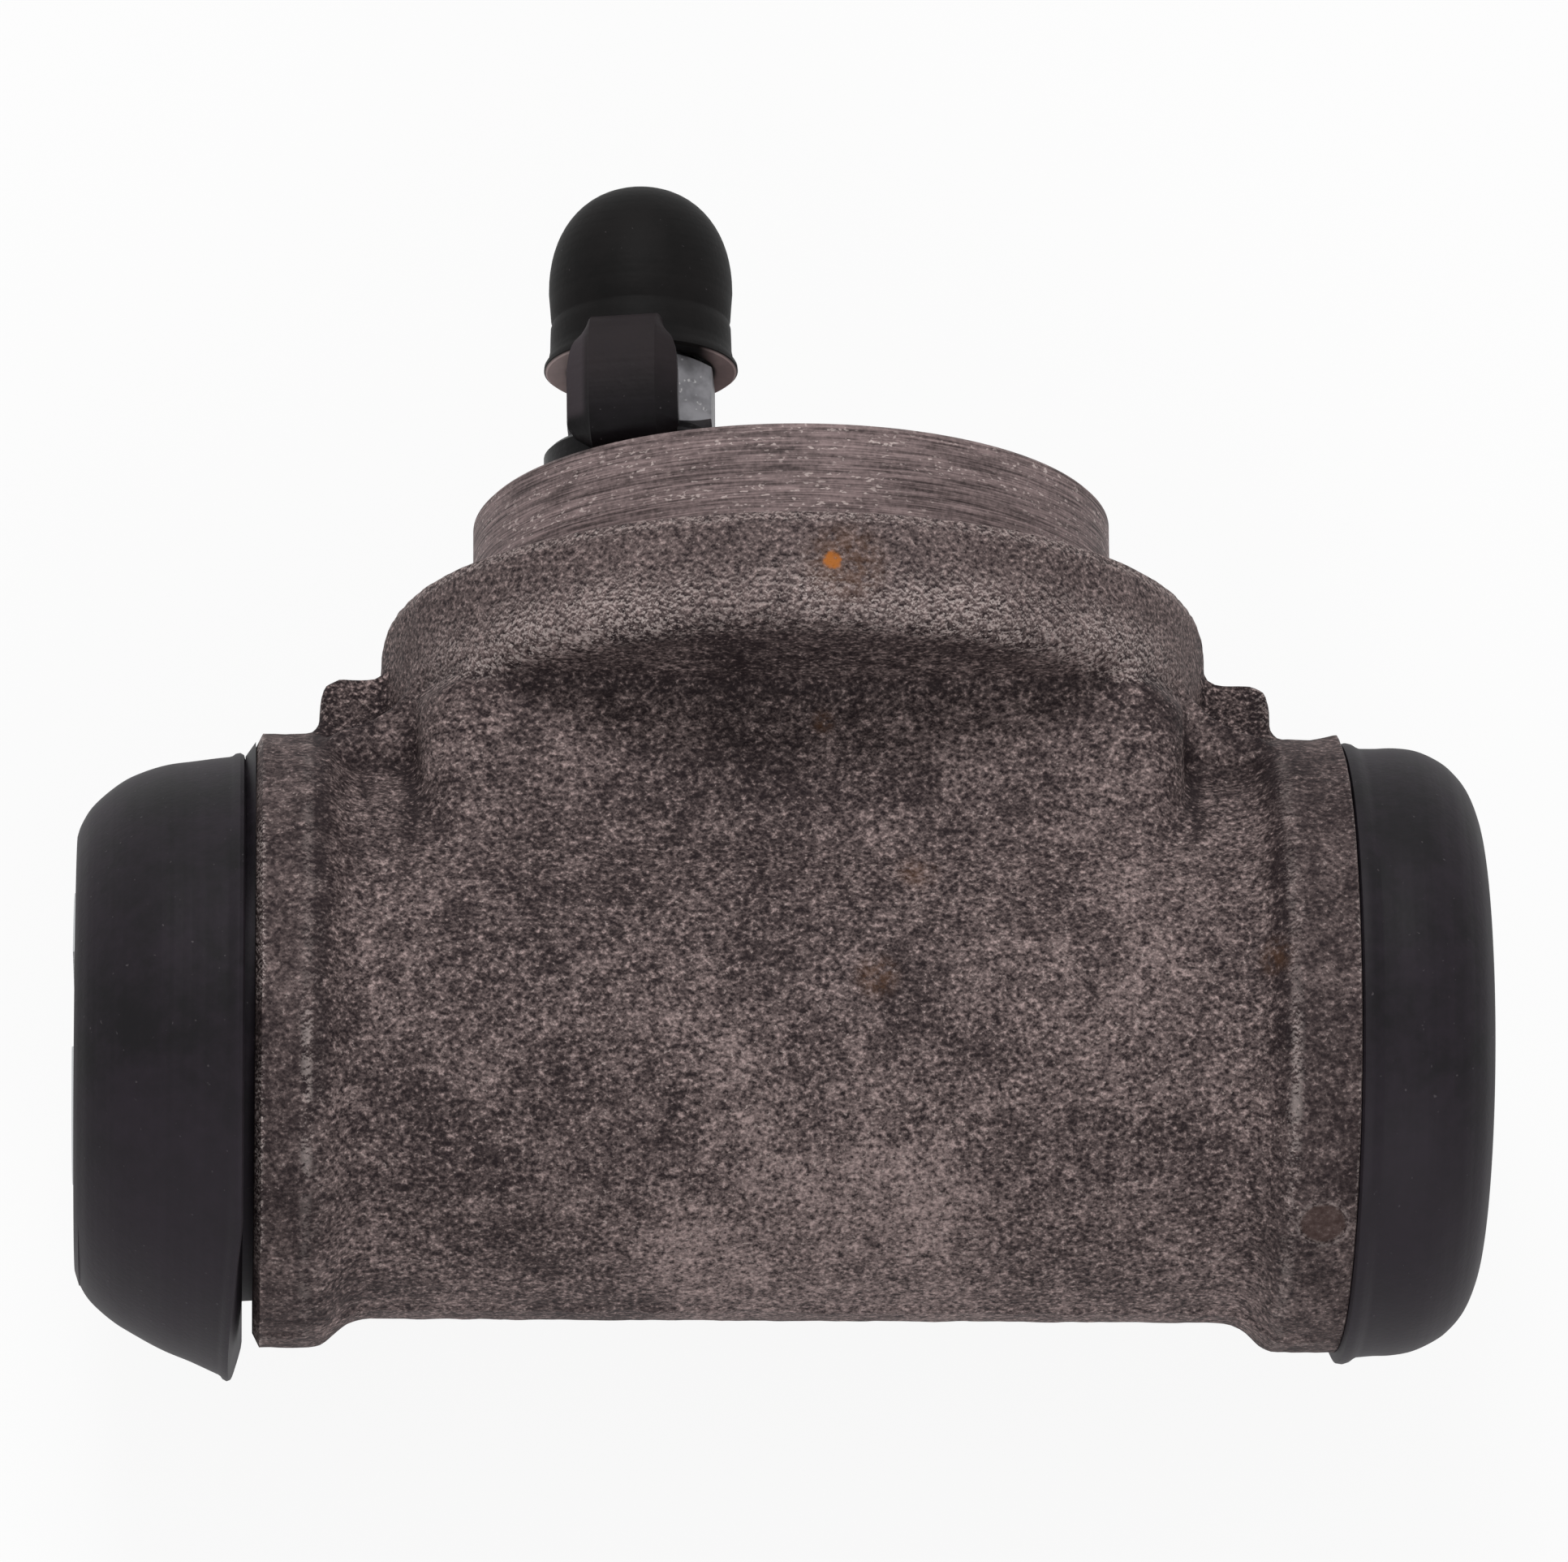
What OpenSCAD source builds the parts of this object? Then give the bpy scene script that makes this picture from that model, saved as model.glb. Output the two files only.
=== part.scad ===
// Drum brake wheel cylinder with two opposed pistons, dust boots and a capped bleed screw.
// X runs along the bore, Y out of the mounting spigot and Z up.
// The origin is the centre of the mounting shoulder.

/* [Bore] */
// Diameter of the bore
bore_d = 20.64; // [19:0.02:22.2]
// Length of the casting between its two end faces
body_len = 59.6; // [56:0.1:66]
// Distance from the mounting shoulder down to the bore axis
axis_drop = 23.2; // [22.4:0.1:26]
// Diameter of the recess in each end face that takes the boot collar
recess_d = 26.6; // [25.4:0.1:28]
// Depth of that recess
recess_depth = 2.6; // [2:0.1:4]
// Chamfer that leads the seals into the bore
bore_chamfer = 0.8; // [0.4:0.1:1.2]

/* [Barrel] */
// Outside diameter of the barrel
barrel_d = 30.8; // [29.6:0.1:32]
// Outside diameter of the two end flanges
flange_d = 34; // [33:0.1:36]
// Width of the full-diameter band of each flange
flange_w = 3; // [2.4:0.1:4]
// Radius of the two arcs that blend a flange into the barrel
flange_blend_r = 2; // [1.2:0.1:2.8]
// Diameter of the shallow round mark on the right flange
mark_d = 2.5; // [1.5:0.1:2.8]
// Depth of that mark
mark_depth = 0.3; // [0.15:0.05:0.5]

/* [Mounting boss] */
// Diameter of the round boss behind the mounting shoulder
boss_d = 46; // [44:0.1:50]
// Thickness of the boss at its rim
boss_t = 6.4; // [5:0.1:8]
// Chamfer round the edge of the mounting shoulder
shoulder_chamfer = 0.5; // [0.2:0.1:1]
// Radius of the lower edge of the rim
boss_edge_r = 1.6; // [0.8:0.1:2.2]
// Depth by which the underside of the boss slopes down to the neck
underside_drop = 0.5; // [0.3:0.1:2.5]
// Diameter of the turned spigot
spigot_d = 35.5; // [34:0.1:38]
// Height of the spigot above the shoulder
spigot_h = 6.8; // [6:0.1:9]
// Chamfer on the end of the spigot
spigot_chamfer = 0.2; // [0.1:0.1:0.8]

/* [Neck and web] */
// Width of the neck along the bore
neck_w = 42; // [40:0.1:44]
// Depth of the neck across the bore
neck_depth = 27.4; // [26:0.1:30.6]
// Radius of the upright corners of the neck
neck_corner_r = 3; // [2:0.1:5]
// Radius of the cove between the neck and the barrel
cove_r = 4.5; // [3:0.1:5]
// Depth of the cove across the bore
cove_depth = 18; // [14:0.1:20]
// Length of the stiffening web along the bore
web_len = 52.8; // [50:0.1:54]
// Thickness of the web
web_t = 8; // [6:0.1:10]
// Distance from the shoulder down to the top of the web
web_drop = 3.3; // [3:0.1:5]
// Radius of the upper corners of the web
web_corner_r = 1.2; // [0.6:0.1:2]

/* [Ports] */
// Thread diameter of the brake pipe inlet
inlet_d = 10; // [9.6:0.1:11]
// Depth of the inlet thread
inlet_depth = 12; // [10:0.1:13]
// Diameter of the drilled passages into the bore
passage_d = 2.6; // [2:0.1:3.2]
// Thread diameter of the two fixing holes
fixing_d = 6; // [5:0.1:6.4]
// Distance between the two fixing holes
fixing_pitch = 23; // [22:0.1:24]
// Depth of the fixing holes
fixing_depth = 11; // [9:0.1:13]
// Distance of the fixing holes below the spigot axis
fixing_offset = 5; // [4:0.1:6]
// Countersink at the mouth of every tapped hole
mouth_chamfer = 0.5; // [0.2:0.1:0.8]

/* [Bleed screw] */
// Distance of the bleed screw from the spigot axis along the bore
bleed_x = -8.6; // [-9:0.1:-7.6]
// Height of the bleed screw above the spigot axis
bleed_z = 7; // [6.4:0.1:7.4]
// Thread diameter of the bleed screw
bleed_d = 7; // [6:0.1:7.4]
// Depth of its port down to the seat
bleed_depth = 11; // [10:0.1:12]
// Width of its hexagon across the flats
hex_af = 8; // [7:0.1:9]
// Turn of the hexagon on its axis
hex_turn = 25; // [0:1:59]
// Height of the hexagon
hex_h = 3.85; // [3:0.05:5]
// Gap between the spigot face and the hexagon
hex_gap = 2.65; // [2.2:0.05:3]
// Length of the nipple above the hexagon
nipple_len = 8; // [7:0.1:8.4]
// Diameter of the nipple at its barb
barb_d = 6.4; // [5.8:0.1:7]

/* [Bleed cap] */
// Diameter of the dome
cap_d = 10.2; // [9.8:0.1:11]
// Diameter of the lip
cap_lip_d = 10.8; // [10.4:0.1:11.2]
// Height of the cap from lip to crown
cap_h = 10.7; // [10.2:0.1:12]
// Height of the moulded seam above the lip
cap_seam_h = 2.9; // [2.4:0.1:3.2]
// Height of the dome above its widest point
dome_h = 6; // [5:0.1:6.4]
// Outside diameter of the retaining ring
ring_d = 10.8; // [10:0.1:11.2]
// Thickness of the retaining ring
ring_t = 1.8; // [1.4:0.05:1.9]
// Width of the strap
strap_w = 6.2; // [5:0.1:7]
// Thickness of the strap
strap_t = 1.2; // [0.9:0.05:1.4]
// Turn of the strap round the screw
strap_turn = 11; // [0:1:20]

/* [Pistons] */
// Length of each piston
piston_len = 22; // [20:0.1:23]
// Length of the part that slides in the bore
piston_skirt = 11.4; // [10:0.1:11.6]
// Distance by which the left piston stands out of the end face
left_reach = 9.9; // [9.4:0.1:11]
// Distance by which the right piston stands out of the end face
right_reach = 7.6; // [7.4:0.1:9]
// Diameter of the nose that carries the boot
nose_d = 17; // [16:0.1:17.4]
// Length of the nose beyond the boot groove
nose_collar = 5.2; // [5:0.1:5.4]
// Width of the groove that holds the boot
groove_w = 2.6; // [2.4:0.1:3]
// Depth of that groove
groove_depth = 1.5; // [1.2:0.1:2]
// Width of the slot for the shoe web
slot_w = 5.4; // [4.8:0.1:6]
// Depth of that slot
slot_depth = 4.8; // [4.4:0.1:5.4]

/* [Seals and spring] */
// Length of a cup seal
cup_len = 5.5; // [5:0.1:5.8]
// Thickness of the base of a cup seal
cup_base = 2; // [1.6:0.1:2.4]
// Thickness of the pressed sheet of an expander
expander_t = 0.6; // [0.5:0.05:0.8]
// Height of the rim of an expander
expander_h = 2; // [1.6:0.1:2.4]
// Diameter of the spring wire
wire_d = 1.3; // [1:0.05:1.6]
// Mean diameter of the spring coil
coil_d = 11; // [10:0.1:11.4]
// Number of turns of the spring
coil_turns = 7; // [5:1:9]

/* [Dust boots] */
// Diameter of the boot wall
boot_d = 33.5; // [33:0.1:34]
// Diameter of the lip that meets the end face
boot_lip_d = 34.4; // [34.1:0.1:35]
// Width of that lip
boot_lip_w = 1; // [0.8:0.1:1.4]
// Wall thickness of a boot
boot_wall = 1.6; // [1.2:0.1:1.8]
// Length of the collar that plugs into the end face
collar_len = 1.2; // [1:0.1:1.8]
// Diameter of the flat end of a boot
boot_end_d = 23.2; // [22.8:0.1:25]
// Thickness of the inner wall that folds back to the piston
fold_wall = 1; // [0.8:0.05:1.2]
// Radius of the fold between the flat end and that wall
fold_r = 1.3; // [1:0.05:1.4]
// Length of the straight wall of the right boot before its shoulder
right_boot_wall_len = 3.2; // [2:0.1:3.6]
// Length of the straight wall of the left boot before its shoulder
left_boot_wall_len = 1.6; // [1.4:0.1:3]
// Gap between the slipped left boot and its end face
slip_gap = 0.75; // [0.6:0.05:1]
// Distance by which the slipped left boot hangs below the bore axis
slip_sag = 1.4; // [1:0.1:1.6]
// Diameter of the lip of the slipped left boot, which has sprung open
slipped_lip_d = 35.6; // [34.4:0.1:36]
// Tilt of the slipped left boot
slip_tilt = 1.7; // [0:0.1:2]

/* [Fits] */
// Radial clearance of a piston in the bore
piston_clearance = 0.04; // [0.02:0.01:0.08]
// Radial clearance of the bleed screw in its port
thread_clearance = 0.05; // [0.03:0.01:0.09]
// Clearance between pieces that only rest against each other
rest_clearance = 0.05; // [0.03:0.01:0.1]
// Clearance of rubber round a rigid piece
rubber_clearance = 0.1; // [0.05:0.01:0.2]

/* [Hidden] */
$fn = 96;
overlap = 1;
left = -1;
right = 1;

bore_r = bore_d / 2;
half_len = body_len / 2;
barrel_r = barrel_d / 2;
flange_r = flange_d / 2;
recess_r = recess_d / 2;
boss_r = boss_d / 2;
spigot_r = spigot_d / 2;
passage_r = passage_d / 2;

// A flange and the barrel are joined by a convex and a concave arc that meet at this length
flange_step = flange_r - barrel_r;
flange_blend_len = sqrt(4 * flange_blend_r * flange_step - flange_step * flange_step);

piston_r = bore_r - piston_clearance;
nose_r = nose_d / 2;
groove_r = nose_r - groove_depth;
left_end = half_len + left_reach;
right_end = half_len + right_reach;

// Seal, expander and spring places, measured inwards from the inner end of a piston
cup_wall = 2.3;
expander_play = 0.4;
cup_r = bore_r - rest_clearance;
cup_hollow_r = bore_r - cup_wall;
expander_r = cup_hollow_r - expander_play;
expander_seat = cup_base + rest_clearance;
spring_seat = expander_seat + expander_t + rest_clearance;
spring_start = -(left_end - piston_len - spring_seat);
spring_end = right_end - piston_len - spring_seat;

// The boots stand just proud of the pistons that they close
boot_proud = 0.1;
bead_play = 0.5;
boot_bead = groove_w - 2 * bead_play;
boot_hole_r = groove_r + rubber_clearance;
slipped_hole_r = boot_hole_r + slip_sag;
boot_r = boot_d / 2;
boot_end_r = boot_end_d / 2;
dish_depth = nose_collar + boot_proud + bead_play;
collar_r = recess_r - rubber_clearance;
collar_wall = 1.6;
shoulder_steps = 10;
right_boot_len = right_reach + boot_proud;
left_boot_len = left_reach + boot_proud - slip_gap;

// The fold at the end of a boot is no rounder than the room beside the nose where the slipped boot hangs
slip_drop = slip_sag + left_boot_len * sin(slip_tilt);
fold_bend_r = min(fold_r, boot_end_r - nose_r - slip_drop - rubber_clearance);
dish_r = boot_end_r - fold_bend_r;

// Bleed screw and cap levels along the screw, from the mounting shoulder
bleed_r = bleed_d / 2;
port_r = bleed_r + thread_clearance;
seat_level = spigot_h - bleed_depth;
hex_level = spigot_h + hex_gap;
nipple_level = hex_level + hex_h;
nipple_top = nipple_level + nipple_len;
thread_relief = 0.6;
screw_neck_r = bleed_r - thread_relief;
ring_level = spigot_h + rest_clearance;
lip_level = nipple_level + rubber_clearance;
cap_top = lip_level + cap_h;
cap_r = cap_d / 2;
lip_r = cap_lip_d / 2;
ring_r = ring_d / 2;
cavity_r = barb_d / 2 + rubber_clearance;
strap_in = lip_r + rubber_clearance;

module along_bore(side = right) {
    translate([0, -axis_drop, 0]) rotate([0, 90, 0]) mirror([0, 0, side == left ? 1 : 0]) children();
}

module along_boss(x = 0, z = 0) {
    translate([x, 0, z]) rotate([-90, 0, 0]) children();
}

module rounded_rect(w, h, r) {
    square([w - 2 * r, h], center = true);
    square([w, h - 2 * r], center = true);
    for (x = [-1, 1], y = [-1, 1]) translate([x * (w / 2 - r), y * (h / 2 - r)]) circle(r);
}

// Half of the barrel in radius and length, from the middle out to one flange
module barrel_profile() {
    band_start = half_len - flange_w;
    blend_start = band_start - flange_blend_len;
    square([barrel_r, half_len]);
    translate([0, band_start]) square([flange_r, flange_w]);
    intersection() {
        translate([flange_r - flange_blend_r, band_start]) circle(flange_blend_r);
        translate([0, band_start - flange_blend_len / 2]) square([flange_r, flange_blend_len / 2 + overlap]);
    }
    difference() {
        translate([0, blend_start]) square([flange_r - flange_step / 2, flange_blend_len]);
        translate([barrel_r + flange_blend_r, blend_start]) circle(flange_blend_r);
    }
}

module barrel() {
    for (side = [left, right]) along_bore(side) rotate_extrude() barrel_profile();
}

// Spigot, shoulder and boss with a rounded rim and a sloping underside
module boss() {
    along_boss() rotate_extrude() {
        translate([0, -boss_t]) square([boss_r - boss_edge_r, boss_t]);
        polygon([[0, boss_edge_r - boss_t], [boss_r, boss_edge_r - boss_t], [boss_r, -shoulder_chamfer],
                 [boss_r - shoulder_chamfer, 0], [0, 0]]);
        translate([boss_r - boss_edge_r, boss_edge_r - boss_t]) circle(boss_edge_r);
        polygon([[0, overlap - boss_t], [boss_r - boss_edge_r, overlap - boss_t],
                 [boss_r - boss_edge_r, -boss_t], [neck_depth / 2, -boss_t - underside_drop],
                 [0, -boss_t - underside_drop]]);
        polygon([[0, -overlap], [spigot_r, -overlap], [spigot_r, spigot_h - spigot_chamfer],
                 [spigot_r - spigot_chamfer, spigot_h], [0, spigot_h]]);
    }
}

// Slab between the boss and the barrel, with its upper corners turned down to the rim of the boss
module neck() {
    corner = norm([neck_w, neck_depth]) / 2;
    slope = corner - boss_r;
    intersection() {
        translate([0, -axis_drop, 0]) along_boss()
            linear_extrude(axis_drop - boss_edge_r) rounded_rect(neck_w, neck_depth, neck_corner_r);
        along_boss() rotate_extrude()
            polygon([[0, -axis_drop - overlap], [corner, -axis_drop - overlap], [corner, -boss_t - slope],
                     [boss_r, -boss_t], [boss_r - boss_edge_r, -boss_t], [boss_r - boss_edge_r, 0], [0, 0]]);
    }
}

// Sides of the neck, which run down from the rim of the boss nearly flush with it
module neck_sides() {
    side_set_in = 0.4;
    intersection() {
        translate([0, -axis_drop, 0]) along_boss()
            cylinder(r = boss_r - side_set_in, h = axis_drop - boss_edge_r);
        cube([boss_d, 2 * axis_drop, cove_depth], center = true);
    }
}

// Concave fillets where the sides of the neck run out along the barrel
module coves() {
    cove_foot = flange_r - axis_drop - flange_step;
    for (side = [left, right]) mirror([side == left ? 1 : 0, 0, 0])
        linear_extrude(cove_depth, center = true) difference() {
            translate([neck_w / 2 - overlap, cove_foot - flange_step])
                square([cove_r + overlap, cove_r + flange_step]);
            translate([neck_w / 2 + cove_r, cove_foot + cove_r]) circle(cove_r);
        }
}

module web() {
    web_h = axis_drop - web_drop;
    translate([0, -web_drop - web_h / 2, 0])
        linear_extrude(web_t, center = true) rounded_rect(web_len, web_h, web_corner_r);
}

// Bore with a lead-in chamfer and a boot recess at each end
module bore_cut() {
    chamfer_r = bore_r + bore_chamfer;
    recess_floor = half_len - recess_depth;
    for (side = [left, right]) along_bore(side) rotate_extrude()
        polygon([[0, -overlap], [bore_r, -overlap], [bore_r, recess_floor - bore_chamfer],
                 [chamfer_r, recess_floor], [recess_r, recess_floor],
                 [recess_r, half_len + overlap], [0, half_len + overlap]]);
}

// Tapped hole from the end of the spigot, with a countersunk mouth and a drill point
module tapped_hole(r, depth) {
    point = r / 2;
    rotate_extrude()
        polygon([[0, spigot_h - depth - point], [r, spigot_h - depth], [r, spigot_h - mouth_chamfer],
                 [r + mouth_chamfer, spigot_h], [r + mouth_chamfer, spigot_h + overlap],
                 [0, spigot_h + overlap]]);
}

module ports() {
    along_boss() tapped_hole(inlet_d / 2, inlet_depth);
    for (side = [left, right])
        along_boss(side * fixing_pitch / 2, -fixing_offset) tapped_hole(fixing_d / 2, fixing_depth);
    along_boss(bleed_x, bleed_z) rotate_extrude()
        polygon([[0, seat_level - port_r + passage_r], [passage_r, seat_level - port_r + passage_r],
                 [port_r, seat_level], [port_r, spigot_h - mouth_chamfer],
                 [port_r + mouth_chamfer, spigot_h], [port_r + mouth_chamfer, spigot_h + overlap],
                 [0, spigot_h + overlap]]);
    for (hole = [[0, 0], [bleed_x, bleed_z]])
        translate([0, -axis_drop, 0]) along_boss(hole[0], hole[1])
            cylinder(r = passage_r, h = axis_drop);
}

// Shallow round mark on the lower front of the right flange
module flange_mark() {
    mark_angle = 143;
    translate([half_len - flange_w / 2, -axis_drop, 0]) rotate([mark_angle, 0, 0])
        along_boss() translate([0, 0, flange_r - mark_depth]) cylinder(d = mark_d, h = flange_r);
}

module cylinder_body() {
    color("#6a6158") difference() {
        union() {
            barrel();
            boss();
            neck();
            neck_sides();
            coves();
            web();
        }
        bore_cut();
        ports();
        flange_mark();
    }
}

// Piston with a boot groove in its nose and a slot for the shoe web across its end
module piston(side, end) {
    start = end - piston_len;
    skirt_end = start + piston_skirt;
    groove_end = end - nose_collar;
    edge = 0.5;
    color("#b9bcc0") along_bore(side) difference() {
        rotate_extrude()
            polygon([[0, start], [piston_r - edge, start], [piston_r, start + edge],
                     [piston_r, skirt_end - edge], [piston_r - edge, skirt_end], [nose_r, skirt_end],
                     [nose_r, groove_end - groove_w], [groove_r, groove_end - groove_w],
                     [groove_r, groove_end], [nose_r, groove_end], [nose_r, end - edge],
                     [nose_r - edge, end], [0, end]]);
        translate([0, 0, end - slot_depth / 2 + overlap / 2])
            cube([nose_d + overlap, slot_w, slot_depth + overlap], center = true);
    }
}

// Rubber cup whose flared lip faces the fluid
module cup_seal(side, end) {
    start = end - piston_len - rest_clearance;
    lip_wall = 0.7;
    heel_in = 0.6;
    color("#26272a") along_bore(side) rotate_extrude()
        polygon([[0, start], [cup_r - heel_in, start], [cup_r - heel_in / 2, start - cup_base / 2],
                 [cup_r, start - cup_len], [cup_r - lip_wall, start - cup_len],
                 [cup_hollow_r, start - cup_base], [0, start - cup_base]]);
}

// Pressed dish that spreads the cup lip and seats the spring
module cup_expander(side, end) {
    floor_level = end - piston_len - expander_seat - rest_clearance;
    rim = floor_level - expander_h;
    color("#a9a294") along_bore(side) rotate_extrude()
        polygon([[0, floor_level], [expander_r, floor_level], [expander_r, rim],
                 [expander_r - expander_t, rim], [expander_r - expander_t, floor_level - expander_t],
                 [0, floor_level - expander_t]]);
}

// Height of the spring wire along the bore: closed end turns with an even open pitch between them
function wire_height(turn) =
    let(closed_pitch = wire_d + rest_clearance,
        first = spring_start + wire_d / 2 + 2 * rest_clearance,
        last = spring_end - wire_d / 2 - 2 * rest_clearance,
        open_len = last - first - 2 * closed_pitch,
        open_turns = coil_turns - 2)
    turn < 1 ? first + turn * closed_pitch
    : turn > coil_turns - 1 ? last - (coil_turns - turn) * closed_pitch
    : first + closed_pitch + (turn - 1) / open_turns * open_len;

function wire_ring(turn, sides) =
    [for (s = [0 : sides - 1])
        let(around = 360 * s / sides, r = coil_d / 2 + wire_d / 2 * cos(around))
        [r * cos(360 * turn), r * sin(360 * turn), wire_height(turn) + wire_d / 2 * sin(around)]];

module return_spring() {
    sides = 8;
    steps_per_turn = 20;
    steps = steps_per_turn * coil_turns;
    points = [for (i = [0 : steps]) each wire_ring(i / steps_per_turn, sides)];
    walls = [for (i = [0 : steps - 1], s = [0 : sides - 1])
        let(next = (s + 1) % sides)
        [i * sides + s, (i + 1) * sides + s, (i + 1) * sides + next, i * sides + next]];
    first_cap = [for (s = [0 : sides - 1]) s];
    last_cap = [for (s = [sides - 1 : -1 : 0]) steps * sides + s];
    color("#8f8a80") along_bore() polyhedron(points, concat(walls, [first_cap], [last_cap]), convexity = 10);
}

// Quarter ellipse that turns the boot wall into its flat end
function shoulder(wall_len, len, inset, first, last) =
    [for (i = [0 : shoulder_steps])
        let(turn = first + (last - first) * i / shoulder_steps)
        [boot_end_r + (boot_r - boot_end_r - inset) * cos(turn),
         wall_len + (len - wall_len - inset) * sin(turn)]];

// Boot section in radius and length: collar, lip, wall, shoulder, and a fold back to the bead in the groove
module boot_profile(len, wall_len, hole_r, lip_r) {
    bead_out = len - dish_depth;
    step = 0.3;
    fold = [for (turn = [105 : 15 : 180])
        [boot_end_r + fold_bend_r * cos(turn), len - fold_bend_r + fold_bend_r * sin(turn)]];
    polygon(concat(
        [[collar_r - collar_wall, -collar_len], [collar_r, -collar_len], [collar_r, 0],
         [lip_r, 0], [lip_r, boot_lip_w], [boot_r, boot_lip_w + step]],
        shoulder(wall_len, len, 0, 0, 90),
        fold,
        [[dish_r, bead_out], [hole_r, bead_out], [hole_r, bead_out - boot_bead],
         [dish_r + fold_wall, bead_out - boot_bead], [dish_r + fold_wall, len - boot_wall]],
        shoulder(wall_len, len, boot_wall, 90, 0),
        [[boot_r - boot_wall, boot_lip_w + step], [collar_r - collar_wall, step]]));
}

module right_dust_boot() {
    color("#1d1e20") along_bore(right) translate([0, 0, half_len + rest_clearance])
        rotate_extrude() boot_profile(right_boot_len, right_boot_wall_len, boot_hole_r, boot_lip_d / 2);
}

// The slipped boot sags and tilts on the piston, with its collar pressed flat against the end face
module left_dust_boot() {
    color("#1d1e20") difference() {
        translate([0, -slip_sag, 0]) along_bore(left) translate([0, 0, half_len + slip_gap])
            rotate([slip_tilt, 0, 0]) rotate_extrude()
                boot_profile(left_boot_len, left_boot_wall_len, slipped_hole_r, slipped_lip_d / 2);
        translate([-half_len - rest_clearance, -axis_drop - flange_d, -flange_d])
            cube([half_len, 2 * flange_d, 2 * flange_d]);
    }
}

// Threaded screw with a coned tip, a hexagon and a drilled, barbed nipple
module bleed_screw() {
    thread_lead = 0.8;
    relief_r = bleed_r - thread_lead;
    relief_len = 2.2;
    tip_r = 0.9;
    tip_gap = thread_clearance * 2;
    cone_top = seat_level - port_r + relief_r + tip_gap;
    thread_start = seat_level + relief_len;
    drill_r = 0.9;
    drill_floor = 0.6;
    cross_drill = 1.4;
    barb_step = 0.5;
    barb_ramp = 1;
    stem_r = barb_d / 2 - barb_step;
    barb_level = nipple_level + nipple_len / 2;
    hex_edge = 0.4;
    hex_spread = 0.6;
    hex_reach = hex_af / 2 + hex_spread;
    color("#8e9093") along_boss(bleed_x, bleed_z) difference() {
        union() {
            rotate_extrude()
                polygon([[0, cone_top - relief_r + tip_r], [tip_r, cone_top - relief_r + tip_r],
                         [relief_r, cone_top], [relief_r, thread_start],
                         [bleed_r, thread_start + thread_lead], [bleed_r, spigot_h - mouth_chamfer],
                         [screw_neck_r, spigot_h],
                         [screw_neck_r, hex_level + overlap], [stem_r, nipple_level],
                         [stem_r, barb_level - barb_ramp], [barb_d / 2, barb_level],
                         [barb_d / 2, barb_level + barb_step], [stem_r - barb_step, nipple_top],
                         [0, nipple_top]]);
            intersection() {
                translate([0, 0, hex_level]) rotate([0, 0, hex_turn])
                    cylinder(d = hex_af / cos(30), h = hex_h, $fn = 6);
                translate([0, 0, hex_level]) rotate_extrude()
                    polygon([[0, 0], [hex_af / 2, 0], [hex_reach, hex_edge], [hex_reach, hex_h - hex_edge],
                             [hex_af / 2, hex_h], [0, hex_h]]);
            }
        }
        translate([0, 0, cone_top + drill_floor]) cylinder(r = drill_r, h = nipple_top);
        translate([0, 0, cone_top + cross_drill]) rotate([90, 0, 0])
            cylinder(r = drill_r, h = bleed_d, center = true);
    }
}

// Domed rubber cap, hollow for the nipple, with a moulded seam and a flared lip
module bleed_cap() {
    seam = lip_level + cap_seam_h;
    widest = cap_top - dome_h;
    skirt_set_in = 0.1;
    skirt_r = cap_r - skirt_set_in;
    seam_depth = 0.2;
    seam_half = 0.25;
    cavity_top = nipple_top + rubber_clearance;
    flare = 0.5;
    dome_step = 9;
    dome = [for (turn = [0 : dome_step : 90 - dome_step]) [cap_r * cos(turn), widest + dome_h * sin(turn)]];
    color("#1b1c1e") along_boss(bleed_x, bleed_z) rotate_extrude()
        polygon(concat(
            [[cavity_r + flare, lip_level], [lip_r, lip_level], [lip_r, lip_level + flare],
             [skirt_r, lip_level + 2 * flare], [skirt_r, seam - seam_half], [skirt_r - seam_depth, seam],
             [skirt_r, seam + seam_half]],
            dome,
            [[0, cap_top], [0, cavity_top], [cavity_r - flare, cavity_top], [cavity_r, cavity_top - flare],
             [cavity_r, lip_level + flare]]));
}

// Ring round the screw neck and the tongue that ties the cap to it
module cap_strap() {
    ring_top = ring_level + ring_t;
    ring_edge = 0.3;
    root = lip_level + cap_seam_h * 0.7;
    root_grip = 1.1;
    bow = 0.5;
    bow_drop = 1.6;
    bow_level = lip_level - bow_drop;
    bend = 0.7;
    taper = 0.5;
    strap_out = strap_in + strap_t;
    cap_side = cap_r + rubber_clearance;
    color("#1f2022") along_boss(bleed_x, bleed_z) {
        difference() {
            translate([0, 0, ring_level]) cylinder(r = ring_r, h = ring_t);
            cylinder(r = screw_neck_r + rubber_clearance, h = cap_top);
        }
        rotate([0, 0, -strap_turn]) intersection() {
            rotate([90, 0, -90]) linear_extrude(strap_w, center = true)
                polygon([[cap_side, root], [strap_in + ring_edge, root - ring_edge],
                         [strap_out, root - 2 * bend], [strap_out + bow, bow_level],
                         [strap_out, ring_top + bend],
                         [ring_r, ring_level + ring_edge], [ring_r - overlap, ring_level + ring_edge],
                         [ring_r - overlap, ring_top - ring_edge / 2], [strap_in, ring_top + bend],
                         [strap_in + bow, bow_level], [strap_in, lip_level + bend],
                         [cap_side, lip_level + root_grip]]);
            rotate([90, 0, 0]) linear_extrude(2 * ring_d)
                polygon([[-strap_w / 4, root], [strap_w / 4, root], [strap_w / 2, lip_level - taper],
                         [strap_w / 2, ring_top], [strap_w / 2 - taper, ring_level],
                         [taper - strap_w / 2, ring_level], [-strap_w / 2, ring_top],
                         [-strap_w / 2, lip_level - taper]]);
        }
    }
}

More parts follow.
